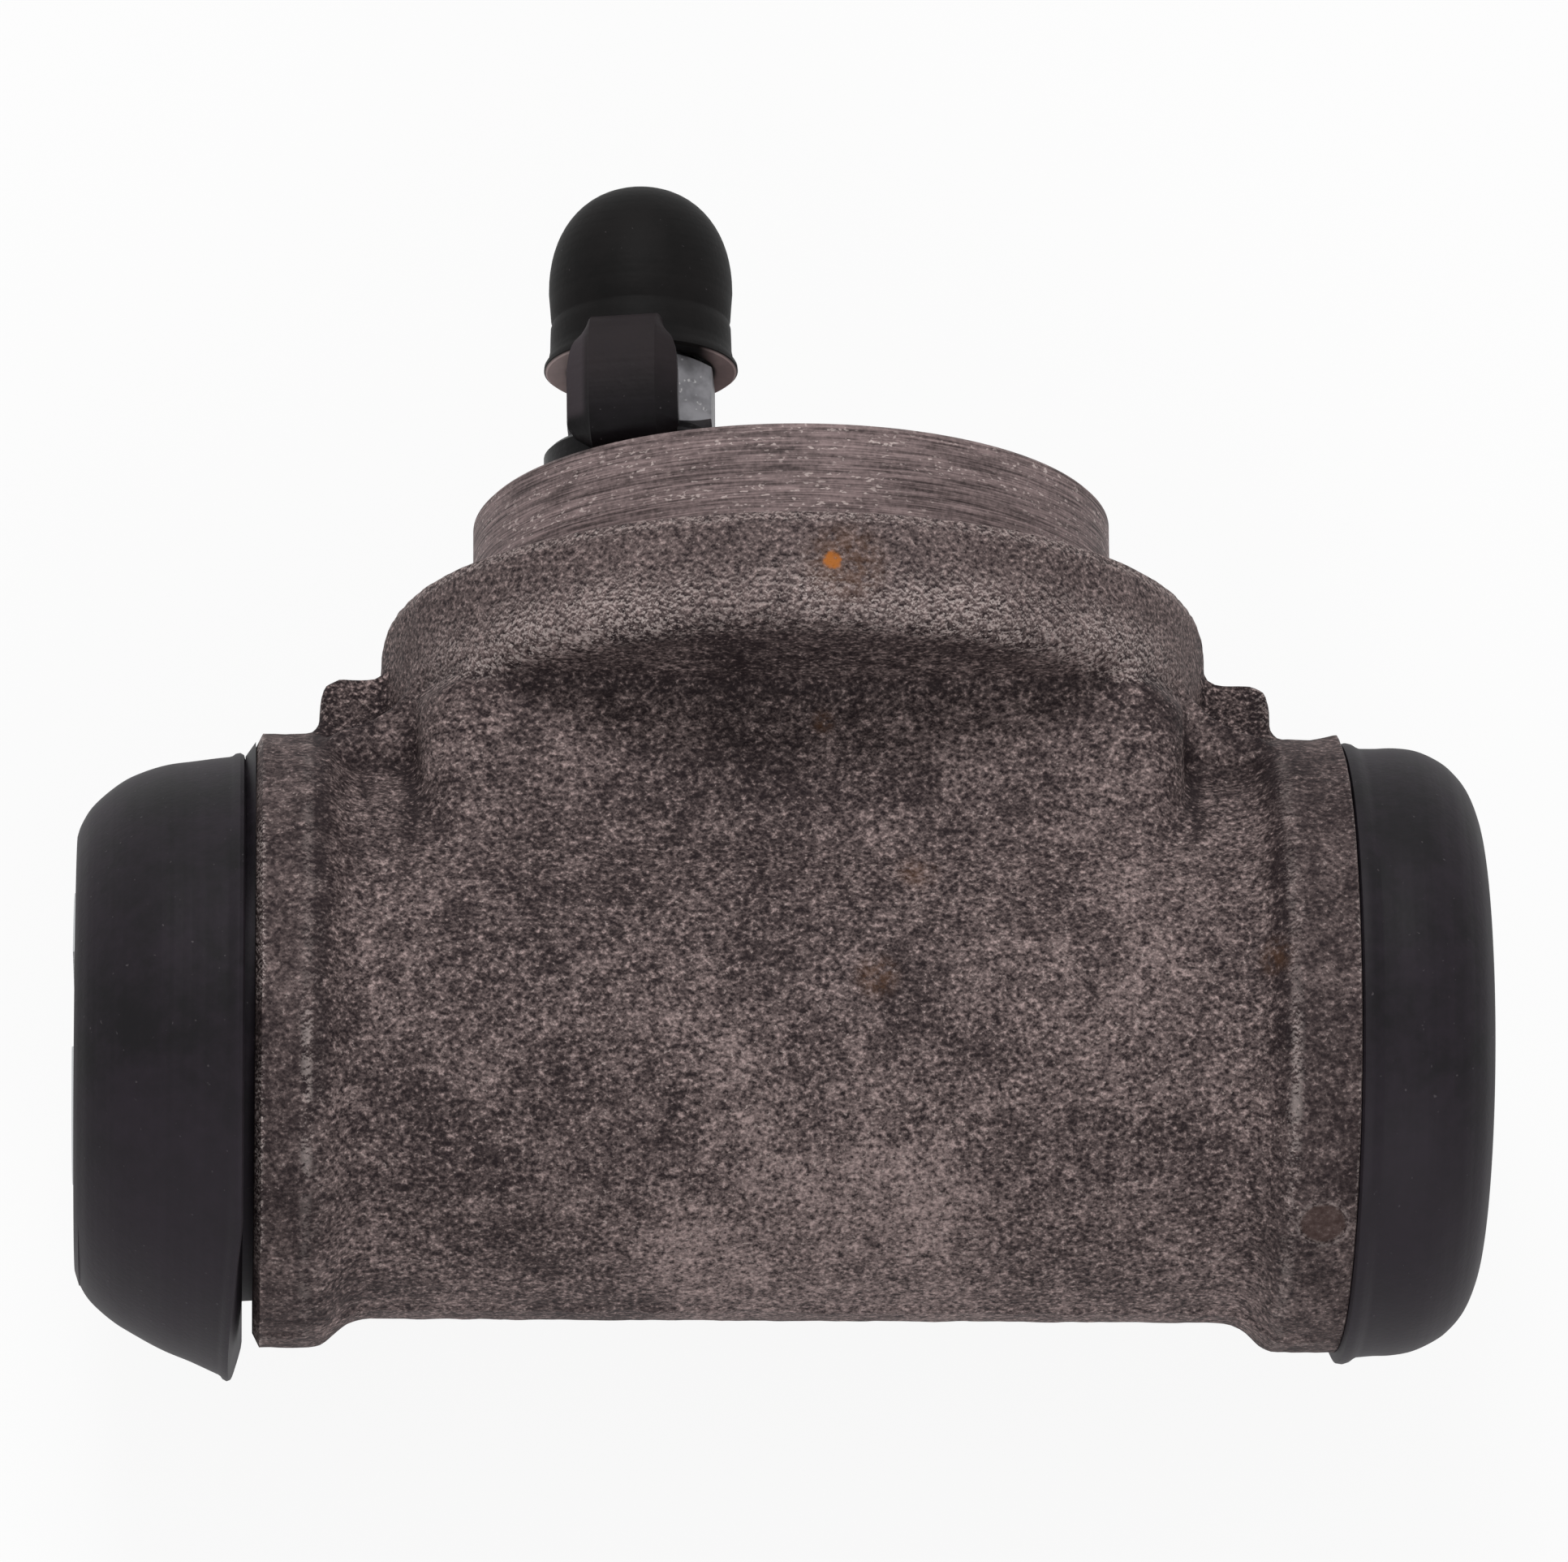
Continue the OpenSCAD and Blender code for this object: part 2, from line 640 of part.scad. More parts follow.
module left_piston() piston(left, left_end);
module right_piston() piston(right, right_end);
module left_cup_seal() cup_seal(left, left_end);
module right_cup_seal() cup_seal(right, right_end);
module left_cup_expander() cup_expander(left, left_end);
module right_cup_expander() cup_expander(right, right_end);

cylinder_body();
left_piston();
right_piston();
left_cup_seal();
right_cup_seal();
left_cup_expander();
right_cup_expander();
return_spring();
left_dust_boot();
right_dust_boot();
bleed_screw();
bleed_cap();
cap_strap();
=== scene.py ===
import math

import bmesh
import bpy
import numpy as np
from mathutils import Matrix, Vector, noise


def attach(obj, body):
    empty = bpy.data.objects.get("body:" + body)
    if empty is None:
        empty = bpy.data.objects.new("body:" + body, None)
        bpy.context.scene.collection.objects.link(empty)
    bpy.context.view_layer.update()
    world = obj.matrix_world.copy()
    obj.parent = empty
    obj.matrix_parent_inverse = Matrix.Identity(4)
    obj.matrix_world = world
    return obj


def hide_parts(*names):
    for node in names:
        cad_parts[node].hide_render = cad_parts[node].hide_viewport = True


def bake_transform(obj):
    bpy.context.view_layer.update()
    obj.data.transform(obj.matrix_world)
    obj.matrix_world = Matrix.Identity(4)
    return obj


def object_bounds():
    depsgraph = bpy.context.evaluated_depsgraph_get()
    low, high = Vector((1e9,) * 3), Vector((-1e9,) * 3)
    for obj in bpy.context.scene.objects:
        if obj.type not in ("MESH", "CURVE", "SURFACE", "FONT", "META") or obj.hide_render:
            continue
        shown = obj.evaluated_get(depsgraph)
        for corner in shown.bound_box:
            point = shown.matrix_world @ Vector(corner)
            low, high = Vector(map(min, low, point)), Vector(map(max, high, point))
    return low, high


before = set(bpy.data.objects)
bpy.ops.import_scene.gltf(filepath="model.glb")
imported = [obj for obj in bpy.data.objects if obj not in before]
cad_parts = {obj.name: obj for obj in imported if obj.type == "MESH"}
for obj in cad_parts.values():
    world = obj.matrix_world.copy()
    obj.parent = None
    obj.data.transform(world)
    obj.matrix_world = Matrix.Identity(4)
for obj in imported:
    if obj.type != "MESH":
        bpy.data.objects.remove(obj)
cad_low, cad_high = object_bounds()

MM = 0.001

# Places and sizes shared with the solids
AXIS_Y = -23.2
HALF_LEN = 29.8
BORE_R = 10.32
BORE_CHAMFER = 0.8
RECESS_R = 13.3
RECESS_DEPTH = 2.6
FLANGE_R = 17.0
FLANGE_W = 3.0
RIGHT_FLANGE_EXTRA = 0.7
BARREL_R = 15.4
BOSS_R = 23.0
BOSS_T = 6.4
SPIGOT_R = 17.75
SPIGOT_TOP = 6.8
SPIGOT_CHAMFER = 0.2
SHOULDER_CHAMFER = 0.5
INLET_R = 5.0
INLET_DEPTH = 12.0
FIXING_R = 3.0
FIXING_DEPTH = 11.0
FIXING_X = 11.5
FIXING_Z = -5.0
MOUTH_CHAMFER = 0.5
BLEED_X = -8.6
BLEED_Z = 7.0
BLEED_PORT_R = 3.55
BLEED_DEPTH = 11.0
NECK_X = 21.0
MARK_R = 1.3
MARK_TURN = math.radians(141.5)
MARK_DEPTH = 0.24
MARK_SHIFT = 0.3
MARK_AT = (HALF_LEN - FLANGE_W / 2 - MARK_SHIFT,
           AXIS_Y + FLANGE_R * math.cos(MARK_TURN),
           FLANGE_R * math.sin(MARK_TURN))
LEFT_PISTON_END = 39.7
RIGHT_PISTON_END = 37.4


# Shader and geometry expressions

class Wire:
    """A node socket whose arithmetic adds Math nodes to the tree that it belongs to."""

    def __init__(self, tree, socket=None):
        self.tree = tree
        self.socket = socket

    def node(self, kind, settings, values, output=0):
        """Add a node: its settings first, then the value or link of each socket."""
        made = self.tree.nodes.new(kind)
        for name, value in settings.items():
            setattr(made, name, value)
        for name, value in values.items():
            if isinstance(value, Wire):
                self.tree.links.new(value.socket, made.inputs[name])
            else:
                made.inputs[name].default_value = value
        return Wire(self.tree, made.outputs[output])

    def math(self, operation, *values):
        return self.node("ShaderNodeMath", {"operation": operation}, dict(enumerate(values)))

    def __add__(self, other):
        return self.math("ADD", self, other)

    def __radd__(self, other):
        return self.math("ADD", other, self)

    def __sub__(self, other):
        return self.math("SUBTRACT", self, other)

    def __rsub__(self, other):
        return self.math("SUBTRACT", other, self)

    def __mul__(self, other):
        return self.math("MULTIPLY", self, other)

    def __rmul__(self, other):
        return self.math("MULTIPLY", other, self)

    def __pow__(self, other):
        return self.math("POWER", self, other)

    def absolute(self):
        return self.math("ABSOLUTE", self)

    def at_least(self, other):
        return self.math("MAXIMUM", self, other)

    def at_most(self, other):
        return self.math("MINIMUM", self, other)

    def step(self, low, high):
        """0 below low, 1 above high and smooth between; low above high turns it round."""
        return self.node("ShaderNodeMapRange", {"interpolation_type": "SMOOTHSTEP", "clamp": True},
                         {"Value": self, "From Min": low, "From Max": high, "To Min": 0.0, "To Max": 1.0})

    def tint(self, dark, light):
        """Colour between two colours, by this value."""
        return self.node("ShaderNodeMix", {"data_type": "RGBA"}, {0: self, 6: dark, 7: light}, output=2)


def colour(red, green, blue):
    """A display colour from 0 to 255, as linear values."""
    linear = []
    for level in (red, green, blue):
        share = level / 255
        linear.append(share / 12.92 if share <= 0.04045 else ((share + 0.055) / 1.055) ** 2.4)
    return (*linear, 1.0)


class Finish:
    """A material whose patterns are written in millimetres of the object's own coordinates."""

    def __init__(self, name):
        self.material = bpy.data.materials.new(name)
        self.material.use_nodes = True
        tree = self.material.node_tree
        self.shader = tree.nodes["Principled BSDF"]
        self.root = Wire(tree)
        place = self.root.node("ShaderNodeTexCoord", {}, {}, output="Object")
        self.place = self.root.node("ShaderNodeVectorMath", {"operation": "SCALE"},
                                    {0: place, "Scale": 1 / MM})
        split = self.place.node("ShaderNodeSeparateXYZ", {}, {0: self.place}).socket.node
        self.x, self.y, self.z = (Wire(tree, out) for out in split.outputs)

    def noise(self, size, detail=2.0, roughness=0.5, shift=(0, 0, 0), place=None):
        """Noise from 0 to 1 with blotches of about this size."""
        moved = self.root.node("ShaderNodeVectorMath", {"operation": "ADD"},
                               {0: place or self.place, 1: shift})
        return self.root.node("ShaderNodeTexNoise", {"noise_dimensions": "3D"},
                              {"Vector": moved, "Scale": 1 / size, "Detail": detail, "Roughness": roughness})

    def vector(self, x, y, z):
        return self.root.node("ShaderNodeCombineXYZ", {}, {0: x, 1: y, 2: z})

    def radius(self, first, second):
        return (first * first + second * second) ** 0.5

    def angle(self, first, second):
        return self.root.math("ARCTAN2", first, second)

    def relief(self, height, depth):
        """Bump from a height field, with this many millimetres between 0 and 1."""
        normal = self.root.node("ShaderNodeBump", {},
                                {"Strength": 1.0, "Distance": depth * MM, "Height": height})
        self.root.tree.links.new(normal.socket, self.shader.inputs["Normal"])

    def set(self, **values):
        for name, value in values.items():
            socket = self.shader.inputs[name.replace("_", " ")]
            if isinstance(value, Wire):
                self.root.tree.links.new(value.socket, socket)
            else:
                socket.default_value = value
        return self.material


# Finishes

# Rust on the casting: place and reach of the spots with a bright heart, and of the dull stains
RUST_SPOTS = ((1.1, -2.9, 22.8, 0.9),)
RUST_STAINS = ((1.8, -3.0, 22.8, 3.0),
               (1.0, -9.0, 13.6, 0.9),
               (6.0, -17.6, 14.8, 1.6),
               (3.7, -24.0, 15.4, 1.6),
               (25.6, -23.0, 15.6, 1.6))
# Paler and darker areas of the casting: place, reach and how much paler
AREAS = ((-20.6, -20.4, 15.1, 11.0, 0.015),
         (20.6, -20.6, 15.1, 12.5, 0.025),
         (-19.7, -31.5, 13.0, 7.0, -0.035),
         (-7.0, -33.4, 11.5, 9.0, -0.02),
         # darker on the neck under the boss disc: partly grime, partly painted shade of the disc
         (-3.5, -13.5, 13.7, 13.0, -0.025),
         # paler low on the front of the barrel: painted light from below
         (0.0, -36.5, 7.8, 16.0, 0.07),
         (2.5, -27.5, 14.8, 9.0, -0.02))


def distance(finish, x, y, z):
    """Millimetres from a point of the object."""
    return finish.radius(finish.radius(finish.x - x, finish.y - y), finish.z - z)


def near(finish, x, y, z, size):
    """1 at a point of the object, fading to 0 over this many millimetres."""
    return distance(finish, x, y, z).step(size, size * 0.25)


def any_near(finish, places):
    """1 at any of these places."""
    found = near(finish, *places[0])
    for place in places[1:]:
        found = found.at_least(near(finish, *place))
    return found


def cast_iron():
    """Sand-cast iron with a turned spigot, machined end faces, rubbed edges and a little rust, with painted
    light and shade.
    """
    iron = Finish("cast_iron")
    edge = iron.root.node("ShaderNodeAttribute", {"attribute_name": "edge"}, {}, output="Fac")
    from_middle = iron.x.absolute()
    out_from_spigot = iron.radius(iron.x, iron.z)

    zone = iron.noise(13.0, detail=2.0, shift=(3, 7, 1))
    patch = iron.noise(4.5, detail=5.0, roughness=0.68)
    cluster = iron.noise(1.0, detail=3.0, roughness=0.6, shift=(1, 12, 4)).step(0.42, 0.58)
    grain = iron.noise(0.28, detail=2.0, roughness=0.6, shift=(11, 5, 2))
    # Painted light and shade of the grain: lighter where the grain faces up and darker where it faces down,
    # as if lit from above.
    above = iron.noise(0.28, detail=2.0, roughness=0.6, shift=(11, 5.1, 2))
    painted_grain_light = grain - above
    speck = iron.noise(0.2, detail=1.0, shift=(6, 2, 13)).step(0.62, 0.72)

    rub = iron.noise(7.0, detail=2.0, shift=(9, 4, 6)).step(0.36, 0.56)
    rim = iron.y.step(-2.0, 1.4 - BOSS_T) * iron.y.step(-BOSS_T - 0.5, 0.2 - BOSS_T)
    rim = rim * out_from_spigot.step(BOSS_R - 2.6, BOSS_R - 0.8) * iron.z.step(8.0, 14.0)
    shoulder = iron.y.step(-0.8, -0.4) * out_from_spigot.step(BOSS_R - 1.5, BOSS_R - 0.9)
    inner_edge = HALF_LEN - FLANGE_W
    reach = from_middle + iron.x.step(-1.0, 1.0) * RIGHT_FLANGE_EXTRA
    flange = reach.step(inner_edge - 1.2, inner_edge)
    # Painted shade in the cove inside each flange, on its upper part, and in the creases at the sides of the
    # neck.
    cove = reach.step(inner_edge - 1.5, inner_edge - 0.7) * reach.step(inner_edge, inner_edge - 0.3)
    cove = cove * iron.y.step(-34.0, -27.0)
    crease = from_middle.step(NECK_X - 0.1, NECK_X + 0.25) * from_middle.step(NECK_X + 1.0, NECK_X + 0.6)
    crease = crease * iron.y.step(-17.0, -15.0) * iron.y.step(-7.5, -9.0) * iron.z.step(8.0, 10.0)
    cove = cove.at_least(crease)
    ridge = reach.step(inner_edge - 0.25, inner_edge + 0.1) * reach.step(inner_edge + 0.7, inner_edge + 0.2)
    low_front = iron.y.step(-37.0, -33.0) * iron.y.step(-24.0, -27.0) * iron.z.step(2.0, 5.0)
    ridge = ridge * low_front.at_least(0.3)
    ridge = ridge * (iron.noise(1.4, detail=3.0, shift=(8, 8, 8)) + painted_grain_light).step(0.4, 0.62)
    corner = iron.x.step(NECK_X - 1.2, NECK_X - 0.5) * iron.x.step(NECK_X + 0.8, NECK_X + 0.2)
    corner = corner * iron.y.step(-16.5, -14.0) * iron.y.step(-8.0, -9.5) * iron.z.step(8.0, 10.0)
    rubbed = (edge.step(0.12, 0.6) * (rub * flange).at_least(corner)).at_least(rim * rub.at_least(0.5))
    rubbed = rubbed.at_least(shoulder * 0.6)
    # Painted shade under the boss disc; with it, the colour is darker in concave edges, except round the
    # mark.
    under = iron.y.step(0.5 - BOSS_T, -BOSS_T) * iron.y.step(-BOSS_T - 3.0, -BOSS_T - 0.8)
    from_mark = distance(iron, *MARK_AT)
    inside_mark = from_mark.step(MARK_R + 0.05, MARK_R - 0.15)
    mark_ring = from_mark.step(MARK_R - 0.2, MARK_R) * from_mark.step(MARK_R + 0.35, MARK_R + 0.1)
    darker_hollows_and_painted_shade = (edge.step(-0.08, -0.5) * (1.0 - from_mark.step(2.2, 1.8))).at_least(under * 0.35)
    wall = out_from_spigot.step(BOSS_R - 2.0, BOSS_R - 1.0) * iron.y.step(-BOSS_T, 1.0 - BOSS_T)
    # The lug is painted a little darker, as shade in its pocket behind the neck; its grain also has more
    # contrast.
    lug = reach.step(BOSS_R - 1.5, BOSS_R) * iron.y.step(-8.5, -6.8) * iron.z.step(5.4, 4.4)

    pits = (grain - 0.5) * (0.42 + 3.0 * (grain - 0.5).absolute())
    level = 0.5 + (painted_grain_light * 0.16 + pits * 0.88) * (1.0 - flange * 0.3 - wall * 0.15 + lug * 0.7)
    level = level + ((patch.step(0.38, 0.62) - 0.5) * 0.035 + (patch - 0.5) * 0.14) * (1.0 - wall * 0.6)
    level = level + (zone - 0.5) * 0.09 + (cluster - 0.5) * 0.055 * (1.0 - wall * 0.5)
    for *place, paler in AREAS:
        level = level + near(iron, *place) * paler
    # Darker in concave edges, painted shade under the disc, in the coves and creases and on the lug, and a
    # darker stain on the flanges.
    level = level + wall * 0.02 + rubbed * 0.03 - darker_hollows_and_painted_shade * 0.07 - flange * 0.035 - lug * 0.03 - cove * 0.075
    cast = (level.step(0.18, 0.82) ** 2.4).tint(colour(38, 30, 32), colour(178, 157, 154))
    cast = (speck * level.step(0.44, 0.58) * 0.55).tint(cast, colour(186, 170, 166))
    cast = (inside_mark * 0.7).tint(cast, colour(72, 55, 51))
    # Worn flecks with painted glints: on rubbed places the bright flecks sit on the lit upper side of the
    # grain; the flange's inner ridge gets a bright streak, worn metal with painted highlights, and the mark a
    # pale ring.
    sparkle = rubbed * (painted_grain_light.step(0.0, 0.1) * 0.5).at_least(speck * 0.8)
    sparkle = sparkle.at_least(ridge * 0.36).at_least(mark_ring * grain.step(0.4, 0.6) * 0.2)
    worn_and_glinting = sparkle.tint(cast, colour(200, 186, 182))

    around = iron.angle(iron.x, iron.z) * out_from_spigot
    across = iron.y + out_from_spigot
    lines = iron.noise(0.12, detail=2.0, roughness=0.6, place=iron.vector(around * 0.03, across, 0.0))
    bands = iron.noise(0.9, detail=3.0, roughness=0.6, shift=(5, 3, 9),
                       place=iron.vector(around * 0.07, across, 0.0))
    turned = (lines * 0.5 + bands * 0.3 + grain * 0.2).step(0.34, 0.68)
    turned = turned.tint(colour(60, 51, 51), colour(166, 146, 145))
    nick = iron.noise(0.17, detail=1.0, shift=(6, 2, 13), place=iron.vector(around * 0.5, across, 0.0))
    turned = (nick.step(0.61, 0.7) * bands.step(0.4, 0.58) * 0.85).tint(turned, colour(206, 190, 186))

    spigot = iron.y.step(-0.06, 0.0)
    face = from_middle.step(HALF_LEN - 0.06, HALF_LEN)
    # The end faces are painted dark, as shade where the boots stand over them.
    turned = (face * 0.7).tint(turned, colour(44, 38, 38))
    machined = spigot.at_least(face)
    skin = machined.tint(worn_and_glinting, turned)

    spots = iron.noise(0.6, detail=2.0, roughness=0.7, shift=(2, 2, 17))
    skin = (any_near(iron, RUST_STAINS) * spots.step(0.3, 0.6) * 0.45).tint(skin, colour(96, 66, 44))
    heart = any_near(iron, RUST_SPOTS) + (spots - 0.5) * 1.4
    skin = (heart.step(0.5, 1.1) * 0.95).tint(skin, colour(176, 106, 46))

    rough = 0.62 + grain * 0.2 - machined * 0.12 - rubbed * 0.1
    height = (1.0 - machined) * (grain * 0.8 + speck * 0.2) + machined * lines * 0.3
    iron.relief(height, 0.15)
    return iron.set(Base_Color=skin, Roughness=rough, Metallic=0.0, Specular_IOR_Level=0.1)


def moulded_rubber(name, base, sheen, gloss, rings):
    """Matt black rubber with mould rings, scuffs and bloom, and its shade, which is not set yet."""
    rubber = Finish(name)
    bloom = rubber.noise(5.0, detail=3.0, roughness=0.6)
    speck = rubber.noise(0.3, detail=1.0, shift=(7, 1, 3))
    along = {"x": rubber.x, "y": rubber.y}[rings]
    ring = rubber.noise(0.5, detail=1.0, place=rubber.vector(along, 0.0, 0.0))
    scuff = rubber.noise(0.9, detail=4.0, roughness=0.65, shift=(2, 5, 9))
    shade = (bloom * 0.55 + scuff * 0.3 + ring * 0.15).step(0.36, 0.64).tint(base, sheen)
    shade = (speck.step(0.74, 0.82) * 0.6).tint(shade, colour(90, 85, 88))
    rubber.relief(ring * 0.6 + speck * 0.25, 0.05)
    rubber.set(Roughness=0.5 + bloom * 0.16, Specular_IOR_Level=gloss)
    return rubber, shade


def boot_rubber(name, base, sheen):
    """Rubber of the boots and the cups, painted paler on its lower half, as light from below."""
    rubber, shade = moulded_rubber(name, base, sheen, 0.18, "x")
    # Painted light from below: the lower half is paler.
    dust_and_painted_light = rubber.y.step(AXIS_Y - 4.0, AXIS_Y - 13.0) * 0.5
    return rubber.set(Base_Color=dust_and_painted_light.tint(shade, colour(45, 39, 46)))


def cap_rubber():
    """Rubber of the bleed cap, with a pale dusty underside at the ends of its lip."""
    rubber, shade = moulded_rubber("cap_rubber", colour(9, 8, 8), colour(19, 17, 17), 0.1, "y")
    aside = (rubber.x - BLEED_X).absolute().step(3.0, 4.4)
    inside_lip = rubber.radius(rubber.x - BLEED_X, rubber.z - BLEED_Z).step(5.6, 5.45)
    dust_and_painted_light = rubber.y.step(CAP_LIP_Y + 0.12, CAP_LIP_Y + 0.03) * inside_lip * aside
    dust_and_painted_light = dust_and_painted_light * (0.7 + 0.3 * rubber.noise(0.9, detail=2.0))
    return rubber.set(Base_Color=dust_and_painted_light.tint(shade, colour(206, 186, 184)))


def strap_rubber():
    """Rubber of the strap: dusty at the top, dark towards the ring, and painted paler on its left side, as
    light falling on that side.
    """
    rubber, shade = moulded_rubber("strap_rubber", colour(8, 7, 8), colour(22, 19, 22), 0.1, "y")
    top = rubber.y.step(8.5, 12.5) * (0.5 + 0.5 * rubber.noise(1.6, detail=3.0))
    across = (rubber.x - BLEED_X) * math.cos(STRAP_TURN) - (rubber.z - BLEED_Z) * math.sin(STRAP_TURN)
    # Painted light: the left side of the tongue, above the ring, is paler.
    left_side = across.step(-STRAP_FRONT, -STRAP_FRONT - 0.4) * rubber.y.step(RING_TOP, RING_TOP + 0.6)
    shade = top.tint(shade, colour(42, 36, 38))
    rubber.set(Roughness=0.4 + top * 0.2)
    return rubber.set(Base_Color=(left_side * 0.7).tint(shade, colour(66, 59, 63)))


def zinc_steel():
    """Dull zinc plate with stains and bright nicks."""
    zinc = Finish("zinc_steel")
    stain = zinc.noise(1.6, detail=3.0, roughness=0.6)
    nick = zinc.noise(0.3, detail=1.0, shift=(4, 9, 2))
    shade = stain.step(0.3, 0.7).tint(colour(98, 97, 101), colour(146, 145, 149))
    shade = (nick.step(0.66, 0.76) * 0.7).tint(shade, colour(200, 198, 198))
    zinc.relief(stain * 0.5 + nick * 0.5, 0.03)
    return zinc.set(Base_Color=shade, Roughness=0.42 + stain * 0.2, Metallic=0.35)


def turned_alloy():
    """Turned aluminium with tool rings along the bore and a few dull stains."""
    alloy = Finish("turned_alloy")
    from_axis = alloy.radius(alloy.y - AXIS_Y, alloy.z)
    rings = alloy.noise(0.12, detail=1.0, place=alloy.vector(alloy.x, from_axis, 0.0))
    stain = alloy.noise(2.4, detail=3.0, roughness=0.6)
    shade = rings.step(0.3, 0.7).tint(colour(160, 162, 165), colour(196, 198, 200))
    shade = (stain.step(0.55, 0.8) * 0.5).tint(shade, colour(120, 116, 112))
    alloy.relief(rings, 0.012)
    return alloy.set(Base_Color=shade, Roughness=0.3 + stain * 0.18, Metallic=0.9)


def spring_steel():
    """Drawn wire and pressed sheet, oiled and a little brown."""
    steel = Finish("spring_steel")
    draw = steel.noise(0.4, detail=2.0)
    tarnish = steel.noise(2.0, detail=3.0, shift=(3, 1, 8))
    shade = draw.tint(colour(98, 95, 92), colour(138, 134, 128))
    shade = (tarnish.step(0.5, 0.75) * 0.6).tint(shade, colour(92, 72, 56))
    steel.relief(draw, 0.015)
    return steel.set(Base_Color=shade, Roughness=0.34 + tarnish * 0.2, Metallic=0.9)


# Mesh makers

def finish_mesh(name, mesh, material, smooth_angle=32.0):
    mesh.materials.clear()
    mesh.materials.append(material)
    mesh.polygons.foreach_set("use_smooth", [True] * len(mesh.polygons))
    mesh.set_sharp_from_angle(angle=math.radians(smooth_angle))
    mesh.update()
    piece = bpy.data.objects.new(name, mesh)
    bpy.context.scene.collection.objects.link(piece)
    return piece


def along_bore(side):
    """Place (across, up, out) of a lathe on the bore axis, with out from the middle to one side."""
    return lambda a, b, out: (side * out, AXIS_Y + a, b)


def along_spigot(x=0.0, z=0.0):
    """Place (across, up, out) of a lathe on an upright axis of the spigot."""
    return lambda a, b, out: (x + a, out, z + b)


def lathe(profile, segments, place, ring=False):
    """Solid of revolution from (radius, height) pairs: from pole to pole, or a ring of closed section."""
    mesh = bpy.data.meshes.new("lathe")
    made = bmesh.new()
    rows = []
    for r, out in profile:
        if r < 1e-6:
            rows.append([made.verts.new(Vector(place(0.0, 0.0, out)) * MM)])
            continue
        row = []
        for i in range(segments):
            turn = 2 * math.pi * i / segments
            row.append(made.verts.new(Vector(place(r * math.cos(turn), r * math.sin(turn), out)) * MM))
        rows.append(row)
    pairs = list(zip(rows, rows[1:] + rows[:1]))
    if not ring:
        pairs.pop()
    for lower, upper in pairs:
        for i in range(segments):
            j = (i + 1) % segments
            corners = [lower[i % len(lower)], lower[j % len(lower)],
                       upper[j % len(upper)], upper[i % len(upper)]]
            corners = list(dict.fromkeys(corners))
            if len(corners) > 2:
                made.faces.new(corners)
    bmesh.ops.recalc_face_normals(made, faces=made.faces)
    made.to_mesh(mesh)
    made.free()
    return mesh


def prism(outline, start, end):
    """Solid between two values of x, from the (y, z) pairs of its outline."""
    mesh = bpy.data.meshes.new("prism")
    made = bmesh.new()
    near_end, far_end = ([made.verts.new(Vector((x, y, z)) * MM) for y, z in outline] for x in (start, end))
    for i in range(len(outline)):
        j = (i + 1) % len(outline)
        made.faces.new((near_end[i], near_end[j], far_end[j], far_end[i]))
    made.faces.new(near_end)
    made.faces.new(far_end[::-1])
    bmesh.ops.recalc_face_normals(made, faces=made.faces)
    made.to_mesh(mesh)
    made.free()
    return mesh


def join_meshes(meshes):
    made = bmesh.new()
    for mesh in meshes:
        made.from_mesh(mesh)
    joined = bpy.data.meshes.new("joined")
    made.to_mesh(joined)
    made.free()
    return joined


def apply_modifiers(piece):
    """Replace the mesh of an object by its evaluated mesh."""
    graph = bpy.context.evaluated_depsgraph_get()
    mesh = bpy.data.meshes.new_from_object(piece.evaluated_get(graph))
    piece.modifiers.clear()
    piece.data = mesh
    return mesh


def scratch(mesh):
    piece = bpy.data.objects.new("scratch", mesh)
    bpy.context.scene.collection.objects.link(piece)
    return piece


def cut_away(piece, cutters):
    """Cut solids out of a closed mesh, one after the other."""
    tools = []
    for number, cutter in enumerate(cutters):
        tool = scratch(cutter)
        tools.append(tool)
        cut = piece.modifiers.new(f"cut{number}", "BOOLEAN")
        cut.operation = "DIFFERENCE"
        cut.solver = "MANIFOLD"
        cut.object = tool
    apply_modifiers(piece)
    for tool in tools:
        bpy.data.objects.remove(tool)


def clamped(value):
    return min(max(value, 0.0), 1.0)


def smooth_curve(points, steps):
    """Points along a smooth curve through the given points."""
    padded = [points[0], *points, points[-1]]
    curve = []
    for a, b, c, d in zip(padded, padded[1:], padded[2:], padded[3:]):
        for i in range(steps):
            t = i / steps
            weights = (-0.5 * t + t * t - 0.5 * t ** 3, 1 - 2.5 * t * t + 1.5 * t ** 3,
                       0.5 * t + 2 * t * t - 1.5 * t ** 3, -0.5 * t * t + 0.5 * t ** 3)
            curve.append(tuple(sum(w * p[k] for w, p in zip(weights, (a, b, c, d))) for k in range(2)))
    curve.append(points[-1])
    return curve


# Casting

VOXEL = 0.42
CUT_SEGMENTS = 192
OVERRUN = 1.6
SKIN_ROUNDS = 3
# Degrees that the web root reaches round the barrel to each side
WEB_TURN = 50
# Cast skin: height and size of its waves and sand marks, and how far it lies below the solid
WAVE_H = 0.05
WAVE_SIZE = 4.2
SAND_H = 0.055
SAND_SIZE = 1.1
SKIN_DROP = 0.12
# Flash on the parting line: reach to each side, height and spread
FLASH_REACH = 1.2
FLASH_H = 0.3
FLASH_W = 0.45
# Burr on the right flange: place across the bore, height, spread and length along the bore
BURR_AT = (16.2, 5.2)
BURR_H = 0.34
BURR_W = 2.2
BURR_LEN = 1.4
# Cutter that faces the ends: lowest and highest place, half width and depth
FACING_LOW = -60
FACING_HIGH = 20
FACING_SIDE = 40
FACING_DEPTH = 8
